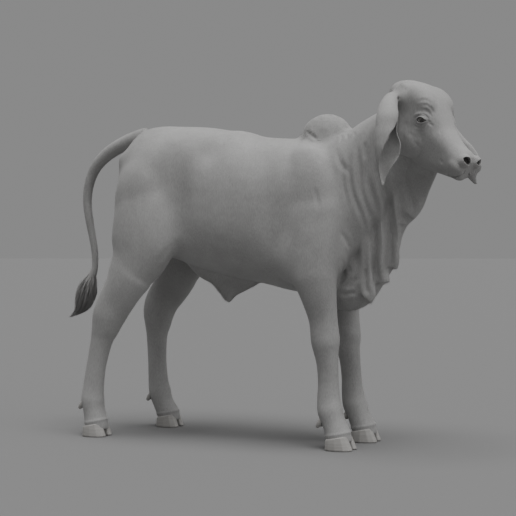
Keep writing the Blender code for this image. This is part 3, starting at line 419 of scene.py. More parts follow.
# %% Head and tail
def head(bm):
    sections = [  # x, top, bottom, half width, level of the widest line
        (-0.024, -0.048, -0.110, 0.042, -0.074),
        (0.000, -0.012, -0.140, 0.064, -0.060),
        (0.030, 0.012, -0.160, 0.078, -0.050),
        (0.065, 0.031, -0.175, 0.087, -0.045),
        (0.105, 0.039, -0.186, 0.090, -0.040),
        (0.145, 0.032, -0.193, 0.087, -0.040),
        (0.185, 0.015, -0.195, 0.079, -0.045),
        (0.225, 0.000, -0.190, 0.068, -0.055),
        (0.265, -0.008, -0.175, 0.058, -0.060),
        (0.300, -0.013, -0.156, 0.052, -0.062),
        (0.335, -0.012, -0.134, 0.050, -0.062),
        (0.361, -0.009, -0.119, 0.049, -0.060),
        (0.381, -0.014, -0.108, 0.044, -0.058),
        (0.394, -0.028, -0.092, 0.035, -0.056),
    ]
    rows = [(x, 0, wide, half, top - wide, wide - bottom) for x, top, bottom, half, wide in sections]
    loft(bm, rows, sides=32, step=0.015, power=2.35, matrix=HEAD)
    for side in SIDES.values():
        forms = [
            ((0.150, side * 0.050, -0.120), (0.090, 0.038, 0.072)),    # cheek
            ((0.110, side * 0.046, -0.006), (0.075, 0.044, 0.046)),    # side of the forehead
            ((0.378, side * 0.030, -0.034), (0.024, 0.020, 0.025)),    # nostril wing
            ((0.362, side * 0.033, -0.066), (0.040, 0.020, 0.025)),    # upper lip
            ((0.050, side * 0.072, -0.046), (0.038, 0.028, 0.034)),    # root of the ear
            ((0.030, side * 0.064, -0.016), (0.020, 0.018, 0.020)),    # horn bud
        ]
        for centre, radii in forms:
            ellipsoid(bm, centre, radii, matrix=HEAD)
    ellipsoid(bm, (0.366, 0, -0.096), (0.034, 0.034, 0.019), matrix=HEAD)


TAIL_LINE = [(-0.390, 1.150), (-0.430, 1.143), (-0.499, 1.124), (-0.576, 1.085), (-0.629, 1.035),
             (-0.658, 0.972), (-0.667, 0.902), (-0.658, 0.832), (-0.643, 0.761), (-0.632, 0.698),
             (-0.632, 0.640), (-0.640, 0.605)]
TAIL_THICK = [0.038, 0.036, 0.031, 0.027, 0.023, 0.020, 0.018, 0.0165, 0.015, 0.014, 0.0135, 0.013]


def tail(bm):
    rows = [(x, 0, z, thick * 0.92, thick, thick) for (x, z), thick in zip(TAIL_LINE, TAIL_THICK)]
    loft(bm, rows, sides=20, step=0.014)

# %% [markdown]
# A Brahman's ear is a long hanging leaf, rolled into a tube where it leaves the head and open to
# the front lower down. A flat grid is bent into that leaf ring by ring and then given its wall.

# %% Ears
EAR_ROWS = [  # the ear's rear fold (x, y, z), half depth, half width, curl outside, curl inside
    (0.634, -0.122, 1.222, 0.022, 0.020, 172, 172),
    (0.624, -0.161, 1.222, 0.026, 0.022, 172, 172),
    (0.622, -0.198, 1.200, 0.031, 0.024, 172, 172),
    (0.622, -0.225, 1.176, 0.036, 0.025, 170, 172),
    (0.624, -0.245, 1.147, 0.037, 0.026, 168, 172),
    (0.625, -0.254, 1.116, 0.035, 0.026, 144, 178),
    (0.625, -0.260, 1.092, 0.038, 0.027, 109, 180),
    (0.625, -0.263, 1.068, 0.042, 0.027, 88, 180),
    (0.626, -0.265, 1.045, 0.043, 0.027, 72, 180),
    (0.629, -0.263, 1.016, 0.040, 0.026, 50, 178),
    (0.632, -0.260, 0.990, 0.032, 0.022, 34, 176),
    (0.636, -0.254, 0.962, 0.018, 0.015, 30, 174),
    (0.640, -0.251, 0.940, 0.009, 0.009, 30, 172),
    (0.645, -0.248, 0.917, 0.003, 0.003, 46, 172),
]
EAR_TURN = {"right": math.radians(24), "left": math.radians(-50)}   # long side of the section
EAR_STEP = 0.008
EAR_ACROSS = 30
LEFT_EAR_REACH = 0.090       # the left ear curves this much further forward at its tip
LEFT_EAR_SPREAD = 0.45       # and is this much broader at its tip
LEFT_EAR_TUCK = 0.090        # and lies this much closer to the cheek at its middle


def ear(side_name):
    """A long hanging leaf, rolled into a tube at its root and open towards the front."""
    stations = smooth_rows(EAR_ROWS, EAR_STEP)
    tangents = np.gradient(stations[:, :3], axis=0)
    count = len(stations)
    turn = EAR_TURN[side_name]
    bm = bmesh.new()
    verts = bmesh.ops.create_grid(bm, x_segments=count - 1, y_segments=EAR_ACROSS, size=0.5)["verts"]
    for vert in verts:
        index = round((vert.co.x + 0.5) * (count - 1))
        row = stations[index]
        down = Vector(tangents[index]).normalized()
        opening = Vector((math.cos(turn), math.sin(turn), 0))
        opening = (opening - down * opening.dot(down)).normalized()
        inward = opening.cross(down).normalized()
        depth = row[3]
        if side_name == "left":
            depth *= 1 + LEFT_EAR_SPREAD * (index / (count - 1)) ** 3
        share = vert.co.y + 0.5
        angle = math.radians(-row[5] + (row[5] + row[6]) * share)
        middle = Vector(row[:3]) + opening * depth
        vert.co = middle - opening * depth * math.cos(angle) + inward * row[4] * math.sin(angle)
    obj = new_object(f"ear_{side_name}", bm)
    modified(obj, "SOLIDIFY", thickness=EAR_THICKNESS, offset=0.0, use_even_offset=False)
    if side_name == "left":
        obj.data.transform(HEAD @ Matrix.Diagonal((1, -1, 1, 1)) @ HEAD.inverted())
        obj.data.flip_normals()
        top = max(vert.co.z for vert in obj.data.vertices)
        low = min(vert.co.z for vert in obj.data.vertices)
        for vert in obj.data.vertices:
            down = (top - vert.co.z) / (top - low)
            tuck = LEFT_EAR_TUCK * math.sin(math.pi * down ** 0.8)
            vert.co += Vector((LEFT_EAR_REACH * down ** 1.8 - 0.4 * tuck, -tuck, 0.020 * down ** 2))
    return keep_largest(obj)

# %% [markdown]
# Hollows, ridges and wrinkles are carved on the remeshed skin: every point moves along its
# normal by a sum of soft bells, and along drawn lines for creases.

# %% Carving with soft bells
def bell(points, centre, radii):
    return np.exp(-0.5 * (((points - np.array(centre)) / np.array(radii)) ** 2).sum(axis=1))


BODY_FORMS = [  # centre (x, |y|, z), radii, push out along the surface
    ((-0.490, 0.120, 0.840), (0.050, 0.090, 0.120), -0.010),   # back of the thigh
    ((-0.060, 0.140, 1.060), (0.034, 0.050, 0.032), -0.008),   # hollow behind the last rib
    ((-0.215, 0.120, 0.990), (0.045, 0.050, 0.060), -0.016),   # hollow of the flank
    ((-0.160, 0.180, 0.860), (0.030, 0.060, 0.120), -0.010),   # in front of the thigh
    ((0.205, 0.190, 0.830), (0.028, 0.060, 0.130), -0.009),    # behind the shoulder
    ((-0.345, 0.190, 0.900), (0.060, 0.060, 0.110), 0.006),    # thigh muscle
    ((-0.160, 0.160, 0.690), (0.045, 0.060, 0.045), 0.012),    # flank fold
    ((-0.300, 0.000, 1.200), (0.080, 0.014, 0.040), -0.003),   # groove of the croup
    ((0.060, 0.190, 0.760), (0.100, 0.060, 0.080), 0.006),     # ribs
    ((0.255, 0.050, 1.110), (0.018, 0.060, 0.050), -0.006),    # behind the hump
    ((0.452, 0.050, 1.130), (0.018, 0.060, 0.050), -0.005),    # before the hump
]


def carve_body(points, normals):
    mirrored = points * (1, 0, 1) + np.abs(points) * (0, 1, 0)
    push = np.zeros(len(points))
    for centre, radii, height in BODY_FORMS:
        push += height * bell(mirrored, centre, radii)
    return points + normals * push[:, None]


HEAD_FORMS = [  # in the head's own frame
    ((0.235, 0.075, -0.020), (0.030, 0.030, 0.022), -0.007),   # below the inner corner of the eye
    ((0.110, 0.095, -0.060), (0.022, 0.030, 0.026), -0.006),   # temple
    ((0.290, 0.060, -0.100), (0.035, 0.030, 0.030), -0.006),   # before the cheek
    ((0.120, 0.060, 0.020), (0.040, 0.022, 0.030), 0.003),     # brow ridge
    ((0.345, 0.045, -0.020), (0.018, 0.022, 0.018), -0.003),   # above the nostril
]


def carve_head(points, normals):
    world = np.array(HEAD.inverted())
    local = points @ world[:3, :3].T + world[:3, 3]
    mirrored = local * (1, 0, 1) + np.abs(local) * (0, 1, 0)
    push = np.zeros(len(points))
    for centre, radii, height in HEAD_FORMS:
        push += height * bell(mirrored, centre, radii)
    return points + normals * push[:, None]


def higher(a, b, blend):
    """The larger of two surfaces, rounded where they meet."""
    return np.maximum(a, b) + np.maximum(blend - np.abs(a - b), 0) ** 2 / (4 * blend)


def carve_lids(points, normals):
    """Draws the skin over each eyeball as lids, with a brow above and a fold below them."""
    world = np.array(HEAD.inverted())
    local = points @ world[:3, :3].T + world[:3, 3]
    slant = (math.cos(EYE_SLANT), math.sin(EYE_SLANT))
    for side in SIDES.values():
        offset = (local - np.array(EYE_PLACE) * (1, side, 1)) * (1, side, 1)
        along = offset[:, 0] * slant[0] + offset[:, 2] * slant[1]
        above = offset[:, 2] * slant[0] - offset[:, 0] * slant[1]
        reach = along ** 2 + above ** 2
        near = np.exp(-(reach / EYE_REACH ** 2) ** 3) * (offset[:, 1] > -0.030)
        ball = np.sqrt(np.maximum((EYE_RADIUS + LID) ** 2 - reach, 0)) - (reach > EYE_REACH ** 2)
        lifted = higher(offset[:, 1], ball, 0.006)
        for line, ends, width, height in EYE_FORMS:
            level = line[0] + line[1] * along + line[2] * along ** 2
            middle, half = (ends[0] + ends[1]) / 2, (ends[1] - ends[0]) / 2
            fade = np.exp(-((along - middle) / half) ** 4)
            lifted += height * fade * np.exp(-((above - level) / width) ** 2)
        local[:, 1] += near * (lifted - offset[:, 1]) * side
    back = np.array(HEAD)
    return local @ back[:3, :3].T + back[:3, 3]


def carve(obj, function):
    count = len(obj.data.vertices)
    points, normals = np.empty(count * 3), np.empty(count * 3)
    obj.data.vertices.foreach_get("co", points)
    obj.data.vertex_normals.foreach_get("vector", normals)
    moved = function(points.reshape(-1, 3), normals.reshape(-1, 3))
    obj.data.vertices.foreach_set("co", moved.ravel())
    obj.data.update()
    return obj


SOFT_ZONES = [  # centre (x, |y|, z) and radii of the joins between the limbs and the trunk
    ((0.330, 0.120, 0.680), (0.130, 0.120, 0.120)),
    ((-0.330, 0.150, 0.660), (0.160, 0.120, 0.120)),
    ((0.345, 0.120, 0.585), (0.100, 0.100, 0.050)),
    ((-0.440, 0.000, 1.140), (0.060, 0.080, 0.060)),
    ((0.690, 0.060, 1.220), (0.060, 0.100, 0.090)),
    ((-0.080, 0.000, 0.620), (0.160, 0.080, 0.060)),
]


def soften(body):
    """Light smoothing all over, and more of it where the limbs join the trunk."""
    modified(body, "SMOOTH", factor=0.5, iterations=11)
    points = np.empty(len(body.data.vertices) * 3)
    body.data.vertices.foreach_get("co", points)
    mirrored = np.abs(points.reshape(-1, 3)) * (0, 1, 0) + points.reshape(-1, 3) * (1, 0, 1)
    weights = np.clip(sum(bell(mirrored, *zone) for zone in SOFT_ZONES) * 1.6, 0, 1)
    group = body.vertex_groups.new(name="soft")
    for step in range(1, 11):
        chosen = np.nonzero(np.round(weights * 10) == step)[0].tolist()
        group.add(chosen, step / 10, "REPLACE")
    modified(body, "SMOOTH", factor=0.5, iterations=100, vertex_group="soft")

# %% [markdown]
# The skin of a Brahman hangs in creases: fine ones round the eye and cheek, long valleys down the
# neck and dewlap, and small ones at the hump and the folds of the limbs. Each crease is a short
# line of places on the right side. It is laid on the skin, and again on the left with less depth.

# %% Lines of the creases
NECK_CREASES = [  # in millimetres: depth, half width, places down the line; ridges are negative
    (1.8, 8, [(362, -119, 1042), (376, -131, 1013)]),
    (3, 6, [(288, -40, 1138), (313, -53, 1121), (339, -61, 1101)]),
    (2.2, 5, [(433, -57, 1116), (432, -80, 1087)]),
    (1.8, 5, [(455, -59, 1118), (457, -78, 1098)]),
    (1.8, 5, [(487, -77, 1123), (487, -88, 1104)]),
    (10, 11, [(546, -87, 846), (555, -67, 803), (557, -56, 730), (555, -49, 642), (556, -44, 592)]),
    (6, 10, [(521, -60, 642), (518, -60, 583), (527, -59, 548)]),
    (4.5, 8, [(485, -54, 612), (467, -56, 588), (448, -55, 567)]),
    (3, 6, [(467, -55, 612), (450, -54, 591), (435, -53, 573)]),
    (3.5, 8, [(421, -51, 543), (455, -58, 550), (484, -51, 556)]),
    (3.5, 8, [(452, -115, 683), (448, -89, 642), (427, -50, 597)]),
    (2.5, 7, [(456, -60, 656), (457, -54, 624)]),
    (4, 9, [(481, -102, 1050), (476, -109, 986), (488, -110, 909), (519, -92, 822), (532, -57, 748)]),
    (4.5, 10, [(501, -94, 1099), (513, -107, 1003), (523, -104, 908), (542, -84, 828),
        (551, -56, 748)]),
    (5, 11, [(563, -102, 1130), (553, -107, 1054), (542, -105, 967), (556, -94, 894), (568, -65, 818)]),
    (13, 13, [(582, -104, 1001), (598, -87, 925), (607, -61, 863), (610, -47, 776), (603, -38, 671),
        (595, -36, 615)]),
    (2.8, 9, [(423, -87, 1071), (437, -104, 1023), (462, -109, 990), (480, -110, 979)]),
    (-5, 9, [(536, -58, 759), (535, -55, 671), (539, -55, 583), (547, -47, 540)]),
    (-7.5, 9, [(584, -80, 880), (577, -54, 794), (576, -49, 706), (573, -47, 629), (581, -27, 590)]),
    (-5, 8, [(633, -62, 863), (631, -43, 776), (625, -36, 689), (622, -28, 650)]),
    (1.8, 7, [(361, -160, 934), (377, -162, 888), (388, -171, 838)]),
    (3, 8, [(449, -125, 776), (463, -103, 741), (470, -81, 706)]),
    (3, 8, [(534, -104, 1083), (535, -107, 1020)]),
    (3.4, 9, [(453, -95, 1058), (450, -108, 1001), (459, -113, 930), (480, -109, 853)]),
    (3, 10, [(638, -66, 915), (648, -62, 862), (650, -45, 793)]),
    (3.5, 9, [(680, -72, 931), (692, -64, 879), (698, -59, 837)]),
    (1.8, 10, [(-505, -60, 1100), (-520, -75, 1060), (-525, -90, 1000)]),
    (1.8, 10, [(-190, -190, 720), (-215, -185, 690), (-250, -180, 665)]),
    (2.2, 7, [(600, -75, 985), (612, -70, 930), (618, -55, 870), (622, -45, 800)]),
    (2.6, 8, [(655, -80, 1000), (672, -78, 950), (676, -70, 900)]),
    (2.6, 7, [(700, -85, 985), (712, -80, 945), (712, -70, 910)]),
]
FACE_CREASES = [
    (1.6, 4.5, [(765, -173, 1181), (780, -166, 1169), (791, -163, 1150)]),
    (1.4, 4.5, [(754, -174, 1192), (776, -171, 1191), (791, -163, 1177), (801, -156, 1158)]),
    (1.2, 5, [(742, -173, 1204), (771, -172, 1208), (794, -162, 1192)]),
    (1.8, 4, [(781, -170, 1134), (796, -162, 1120)]),
    (1.4, 4, [(726, -160, 1128), (744, -162, 1118), (769, -167, 1117)]),
    (1.4, 6, [(707, -155, 1106), (725, -158, 1091), (744, -155, 1080)]),
    (2.4, 8, [(687, -148, 1182), (686, -149, 1119), (686, -145, 1063), (674, -87, 1014)]),
    (1.8, 7, [(700, -152, 1147), (701, -154, 1090)]),
    (1.6, 7, [(720, -157, 1089), (736, -153, 1060), (745, -144, 1044)]),
    (2.6, 8, [(678, -81, 1002), (702, -81, 981), (725, -81, 966), (754, -76, 960)]),
    (1.8, 5, [(818, -156, 1012), (827, -158, 992)]),
]
MOUTH_CREASE = [
    (838, -150, 962), (861, -152, 952), (887, -160, 953), (902, -153, 957), (908, -145, 958),
    (909, -138, 958),
]
MM = 0.001
LEFT_DEPTH = 0.85            # the creases of the left side are this deep, to those of the right
MIRROR = Matrix.Diagonal((1, -1, 1, 1))
HEAD_MIRROR = HEAD @ MIRROR @ HEAD.inverted()
print("creases:", len(NECK_CREASES) + len(FACE_CREASES), "on each side")

# %% Laying a crease on the skin


def on_skin(tree, line, matrix=None):
    """The line's places moved to the nearest points of the skin."""
    places = [(matrix or Matrix()) @ (Vector(place) * MM) for place in line]
    return [tuple(tree.find_nearest(place)[0]) for place in places]


def crease(points, line, depth, width):
    """Presses a soft valley along the line, with a low ridge on both sides of it."""
    line = smooth_rows(line, 0.006)
    low, high = line.min(axis=0) - 4 * width, line.max(axis=0) + 4 * width
    near = np.nonzero(((points > low) & (points < high)).all(axis=1))[0]
    best, share = np.full(len(near), 1.0), np.zeros(len(near))
    for index in range(len(line) - 1):
        start, step = line[index], line[index + 1] - line[index]
        part = np.clip((points[near] - start) @ step / max(step @ step, 1e-12), 0, 1)
        away = np.linalg.norm(points[near] - start - part[:, None] * step, axis=1)
        share = np.where(away < best, (index + part) / (len(line) - 1), share)
        best = np.minimum(away, best)
    fade = np.clip(5 * share * (1 - share), 0, 1)
    valley = np.exp(-(best / width) ** 2)
    banks = 0.35 * np.exp(-((best - 2.0 * width) / width) ** 2)
    push = np.zeros(len(points))
    push[near] = -depth * fade * (valley - banks)
    return push


def skin_tree(body):
    return BVHTree.FromObject(body, bpy.context.evaluated_depsgraph_get())


def crease_all(body, creases, mirror):
    tree = skin_tree(body)

    def pressed(points, normals):
        push = np.zeros(len(points))
        for depth, width, line in creases:
            size = (depth * MM, width * MM)
            push += crease(points, on_skin(tree, line), *size)
            push += LEFT_DEPTH * crease(points, on_skin(tree, line, mirror), *size)
        return points + normals * push[:, None]

    carve(body, pressed)


# %% [markdown]
# The eyes, nostrils and lips need a finer mesh than the flanks, so the skin is divided again
# there. The lids part along an almond, the nostrils are deep drops and the lips meet in a groove.

# %% Eyes, nostrils and lips
NOSTRIL = [(0.903, -0.186, 1.013), (0.900, -0.190, 0.999), (0.908, -0.174, 0.987),
           (0.920, -0.152, 0.986), (0.925, -0.153, 0.998), (0.911, -0.181, 1.016)]
NOSTRIL_DEPTH = 0.017
SLIT = ((-0.0175, 0.0190), 0.0098, 0.0084)   # ends along the eye, height above and below
SLIT_DEPTH = 0.0066


def finer(body, centres, radius, length, rounds):
    """Divides the edges near the centres until they are short."""
    bm = bmesh.new()
    bm.from_mesh(body.data)
    for _ in range(rounds):
        near = [edge for edge in bm.edges if edge.calc_length() > length and any(
            (edge.verts[0].co - centre).length < radius for centre in centres)]
        bmesh.ops.subdivide_edges(bm, edges=near, cuts=1)
        bmesh.ops.triangulate(bm, faces=[face for face in bm.faces if len(face.verts) > 3])
    bm.to_mesh(body.data)
    bm.free()


def open_lids(points, normals):
    """Sinks the skin inside the almond between the lids, so that the eyeball shows."""
    world, back = np.array(HEAD.inverted()), np.array(HEAD)
    local = points @ world[:3, :3].T + world[:3, 3]
    slant = (math.cos(EYE_SLANT), math.sin(EYE_SLANT))
    (start, end), high, low = SLIT
    for side in SIDES.values():
        offset = (local - np.array(EYE_PLACE) * (1, side, 1)) * (1, side, 1)
        along = offset[:, 0] * slant[0] + offset[:, 2] * slant[1]
        above = offset[:, 2] * slant[0] - offset[:, 0] * slant[1] + 0.10 * along + 0.001
        place = np.clip((2 * along - start - end) / (end - start), -1, 1)
        room = np.where(above > 0, high, low) * (1 - np.abs(place) ** 2.2) - np.abs(above)
        inside = np.clip(room / 0.0014 + 0.4, 0, 1) * (offset[:, 1] > 0) * (np.abs(place) < 1)
        rim = np.exp(-((room + 0.0016) / 0.0012) ** 2) * (np.abs(place) < 1) * (offset[:, 1] > 0)
        local[:, 1] += side * (0.0010 * rim - SLIT_DEPTH * inside)
    return local @ back[:3, :3].T + back[:3, 3]


def nostril_mask(points, mirror):
    """One inside the ring of a nostril, falling to nothing over its rim, and the way in."""
    ring = np.array([mirror @ Vector(place) for place in NOSTRIL])
    centre = ring.mean(axis=0)
    axes = np.linalg.svd(ring - centre)[2]
    inward = axes[2] * -np.sign((centre - np.array(HEAD @ Vector((0.30, 0.0, -0.05)))) @ axes[2])
    offset = points - centre
    size = 1.0 if mirror == Matrix() else 0.72
    first, second = offset @ axes[0] / (0.0172 * size), offset @ axes[1] / (0.0112 * size)
    drop = np.sqrt(first ** 2 + second ** 2)
    near = np.abs(offset @ axes[2]) < 0.03
    return np.clip((1.12 - drop) / 0.30, 0, 1) * near, np.exp(-((drop - 1.35) / 0.22) ** 2) * near, inward


def open_nostrils(points, normals):
    moved = points.copy()
    for mirror in (Matrix(), HEAD_MIRROR):
        mask, rim, inward = nostril_mask(points, mirror)
        smooth = mask * mask * (3 - 2 * mask)
        moved += (NOSTRIL_DEPTH * smooth - 0.0007 * rim)[:, None] * inward
    return moved


# %% [markdown]
# Now the body is drawn as one closed skin: the masses melt together first, then limbs, folds,
# head, tail and ears join them on a fine grid, and the soft carving and the creases follow.

# %% One skin
SKIN_VOXEL = 0.0030          # grid of the whole skin
SKIN_FACES = 138000          # triangles once thinned


SOFT_ZONES += [              # the fine grid shows the top of the shank and the pin bone more
    ((-0.360, 0.200, 0.608), (0.100, 0.080, 0.050)),
    ((-0.455, 0.090, 1.045), (0.050, 0.060, 0.060)),
]
CORONET_HEIGHT = 0.062


def carve_coronets(points, normals):
    """Raises the soft band of skin over the hooves, which climbs towards the toes."""
    push = np.zeros(len(points))
    for x, y in [*FRONT_FEET.values(), *HIND_FEET.values()]:
        near = np.exp(-((points[:, 0] - x) ** 2 + (points[:, 1] - y) ** 2) / 0.075 ** 2)
        level = CORONET_HEIGHT + 0.20 * (points[:, 0] - x)
        push += 0.0034 * near * np.exp(-((points[:, 2] - level) / 0.0055) ** 2)
    return points + normals * push[:, None]


def skin():
    """The whole skin as one closed surface."""
    bm = bmesh.new()
    trunk(bm)
    neck(bm)
    big_muscles(bm)
    upper_limbs(bm)
    masses = new_object("masses", bm)
    modified(masses, "REMESH", mode="VOXEL", voxel_size=MASS_VOXEL)
    modified(masses, "SMOOTH", factor=0.5, iterations=7)
    bm = bmesh.new()
    bm.from_mesh(masses.data)
    drop(masses)
    legs(bm)
    sheath(bm)
    dewlap(bm)
    dewlap_folds(bm)
    head(bm)
    tail(bm)
    for name in SIDES:
        leaf = ear(name)
        bm.from_mesh(leaf.data)
        drop(leaf)
    body = new_object("skin", bm)
    modified(body, "REMESH", mode="VOXEL", voxel_size=SKIN_VOXEL)
    soften(body)
    carve(body, carve_body)
    carve(body, carve_head)
    carve(body, carve_coronets)
    return keep_largest(body)


hide = skin()
crease_all(hide, NECK_CREASES, MIRROR)
crease_all(hide, FACE_CREASES, HEAD_MIRROR)
print("skin drawn:", len(hide.data.vertices), "points")

# %% The skin thinned, then opened at the eyes, nostrils and lips
hide.data.calc_loop_triangles()
modified(hide, "DECIMATE", ratio=SKIN_FACES / len(hide.data.loop_triangles))
EYES = [HEAD @ (EYE_PLACE * Vector((1, side, 1))) for side in SIDES.values()]
LIPS = on_skin(skin_tree(hide), MOUTH_CREASE) + on_skin(skin_tree(hide), MOUTH_CREASE, HEAD_MIRROR)
LIPS = [Vector(place) for place in smooth_rows(LIPS[:len(MOUTH_CREASE)], 0.012)] + [
    Vector(place) for place in smooth_rows(LIPS[len(MOUTH_CREASE):], 0.012)]
MUZZLE = [mirror @ Vector(np.mean(NOSTRIL, axis=0)) for mirror in (Matrix(), HEAD_MIRROR)]
finer(hide, EYES, 0.036, 0.0016, 3)
finer(hide, MUZZLE, 0.030, 0.0022, 2)
finer(hide, LIPS, 0.012, 0.0018, 3)
carve(hide, carve_lids)
carve(hide, open_lids)
carve(hide, open_nostrils)
crease_all(hide, [(6.0, 2.2, MOUTH_CREASE)], HEAD_MIRROR)
print("skin thinned:", len(hide.data.polygons), "faces")

# %% [markdown]
# Two numbers are kept on every point of the skin for the paint: how much painted shade it gets inside an
# eye slit or a nostril, and how bare the skin is, as on the muzzle.

# %% Marks for the paint
SLIT_REACH = 0.020                          # dark inside the eye slit, this near to the eye's middle
MUZZLE_MIDDLE = Vector((0.392, 0.0, -0.050))
MUZZLE_REACH = 0.062                        # bare skin round the muzzle


def marked(obj, name, values):
    layer = obj.data.attributes.new(name, "FLOAT", "POINT")
    layer.data.foreach_set("value", np.asarray(values, dtype=np.float32))


def places_of(obj):
    places = np.empty(len(obj.data.vertices) * 3)
    obj.data.vertices.foreach_get("co", places)
    return places.reshape(-1, 3)


points = places_of(hide)
# Painted shade, near black, inside both nostrils and round each eyeball in the lid slit.
shade_amount = sum(nostril_mask(points, mirror)[0] for mirror in (Matrix(), HEAD_MIRROR))
from_eye = np.min([np.linalg.norm(points - np.array(eye), axis=1) for eye in EYES], axis=0)
shade_amount += np.exp(-(from_eye / SLIT_REACH) ** 8)
from_muzzle = np.linalg.norm(points - np.array(HEAD @ MUZZLE_MIDDLE), axis=1)
bare = np.exp(-(from_muzzle / MUZZLE_REACH) ** 4)
marked(hide, "hollow", np.clip(shade_amount, 0, 1))
marked(hide, "bare", bare)
print("marked", int((shade_amount > 0.5).sum()), "hollow and", int((bare > 0.5).sum()), "bare points")

# %% [markdown]
# The skin gets an unwrap of its own shape. The tufts take their place on it from their roots.

# %% The unwrap of the skin
UNWRAP_ANGLE = math.radians(66)
hide.data.transform(Matrix.Translation(-ORIGIN))
hide.data.uv_layers.new(name="OFBake")
bpy.context.view_layer.objects.active = hide
hide.select_set(True)
bpy.ops.object.mode_set(mode="EDIT")
bpy.ops.mesh.select_all(action="SELECT")
bpy.ops.uv.smart_project(angle_limit=UNWRAP_ANGLE, island_margin=0.001)
bpy.ops.object.mode_set(mode="OBJECT")
hide.select_set(False)
FLESH = [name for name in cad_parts
         if not name.startswith(("eye", "hoof", "dewclaw")) and name != "tail_switch"]
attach(hide, "root")
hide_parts(*FLESH)
print("skin:", len(hide.data.polygons), "faces for", len(FLESH), "solids")

# %% [markdown]
# Each eye is a ball that bulges a little over the pupil. Hooves and dewclaws are the solids drawn
# again on a fine grid, and the hooves get low rings round the horn.

# %% Eyeballs, hooves and dewclaws
GAZE = Vector((0.40, 0.90, 0.12)).normalized()     # where the right and left pupils look, in the head


def eyeball(name, side):
    bm = bmesh.new()
    bmesh.ops.create_uvsphere(bm, u_segments=48, v_segments=32, radius=EYE_RADIUS)
    look = GAZE * Vector((1, side, 1))
    for vert in bm.verts:
        bulge = max(0.0, vert.co.normalized().dot(look) - 0.84)
        vert.co *= 1 + 0.35 * bulge
    obj = new_object(name + "_ball", bm)
    marked(obj, "pupil", [vert.co.normalized().dot(look) for vert in obj.data.vertices])
    centre = EYE_PLACE * Vector((1, side, 1))
    obj.data.transform(Matrix.Translation(-ORIGIN) @ HEAD @ Matrix.Translation(centre))
    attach(obj, "root")
    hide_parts(name)
    return obj


def horn(name, voxel, ring):
    """A horny piece on a fine grid, with rings of growth as high as ring, or none at zero."""
    obj = copy_of(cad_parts[name], name + "_horn")
    modified(obj, "REMESH", mode="VOXEL", voxel_size=voxel)
    modified(obj, "SMOOTH", factor=0.5, iterations=4)
    low = min(vert.co.z for vert in obj.data.vertices)

    def ringed(points, normals):
        level = (points[:, 2] - low) * 1000
        return points + normals * (ring * np.sin(level * 1.15) * (level > 6))[:, None]

    carve(obj, ringed)
    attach(obj, "root")
    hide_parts(name)
    return obj


eyeballs = [eyeball(f"eye_{name}", side) for name, side in SIDES.items()]
horns = [horn(name, 0.0022, 0.00009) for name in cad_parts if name.startswith("hoof")]
horns += [horn(name, 0.0018, 0.0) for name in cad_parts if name.startswith("dewclaw")]
print("eyes", len(eyeballs), "horn pieces", len(horns), "faces", sum(len(o.data.polygons) for o in horns))

# %% [markdown]
# The coat is short and lies flat, so most of it is a fine relief in the paint. Thin tufts stand
# in the zones listed below, longest at the tip of the sheath and behind the hump, and shortest on
# the face. Every tuft is a slim closed spike that leaves the skin low and follows the lie of the
# coat.

# %% Where tufts grow
TUFT_ZONES = [  # centre (x, |y|, z), radii, how many on each side, length, lift
    ((0.668, 0.150, 1.262), (0.028, 0.022, 0.022), 216, 0.017, 0.28),     # bud of the horn
    ((0.290, 0.045, 1.130), (0.035, 0.050, 0.022), 198, 0.022, 0.23),     # behind the hump
    ((0.380, 0.050, 1.160), (0.100, 0.060, 0.045), 378, 0.016, 0.10),     # the hump
    ((0.625, 0.255, 1.060), (0.055, 0.050, 0.130), 300, 0.009, 0.05),     # the ear
    ((0.560, 0.020, 0.600), (0.110, 0.050, 0.110), 630, 0.016, 0.11),     # folds of the chest
    ((0.450, 0.010, 0.520), (0.120, 0.060, 0.040), 378, 0.020, 0.14),     # under the chest
    ((0.690, 0.050, 0.900), (0.080, 0.050, 0.090), 378, 0.014, 0.10),     # throat
    ((0.100, 0.060, 0.610), (0.260, 0.090, 0.050), 558, 0.018, 0.10),     # under the belly
    ((-0.085, 0.010, 0.565), (0.060, 0.030, 0.045), 216, 0.024, 0.20),    # tip of the sheath
    ((-0.230, 0.130, 0.640), (0.100, 0.080, 0.050), 288, 0.016, 0.11),    # fold of the flank
    ((-0.530, 0.110, 0.800), (0.050, 0.080, 0.250), 468, 0.014, 0.09),    # back of the thigh
    ((-0.560, 0.150, 0.100), (0.060, 0.060, 0.070), 342, 0.013, 0.12),    # hind fetlock
    ((0.420, 0.113, 0.100), (0.060, 0.060, 0.070), 342, 0.013, 0.12),     # fore fetlock
    ((0.450, 0.110, 0.350), (0.070, 0.060, 0.180), 378, 0.010, 0.07),     # cannon and knee
    ((-0.500, 0.170, 0.350), (0.090, 0.060, 0.200), 378, 0.010, 0.07),    # hind cannon and hock
    ((0.640, 0.060, 1.270), (0.070, 0.080, 0.040), 378, 0.014, 0.10),     # poll
    ((0.760, 0.130, 1.220), (0.070, 0.070, 0.060), 160, 0.005, 0.08),     # forehead
    ((0.840, 0.110, 1.080), (0.070, 0.070, 0.080), 90, 0.004, 0.07),     # bridge of the nose
    ((0.100, 0.060, 1.110), (0.420, 0.080, 0.060), 810, 0.012, 0.07),     # back
    ((-0.340, 0.080, 1.160), (0.160, 0.110, 0.050), 468, 0.012, 0.07),    # rump
    ((-0.600, 0.000, 0.900), (0.160, 0.060, 0.260), 558, 0.013, 0.10),    # tail
]
SPIKE_CORNERS = 10
TUFT_WIDTH = 0.0005
print("tufts planned:", 2 * sum(zone[2] for zone in TUFT_ZONES))


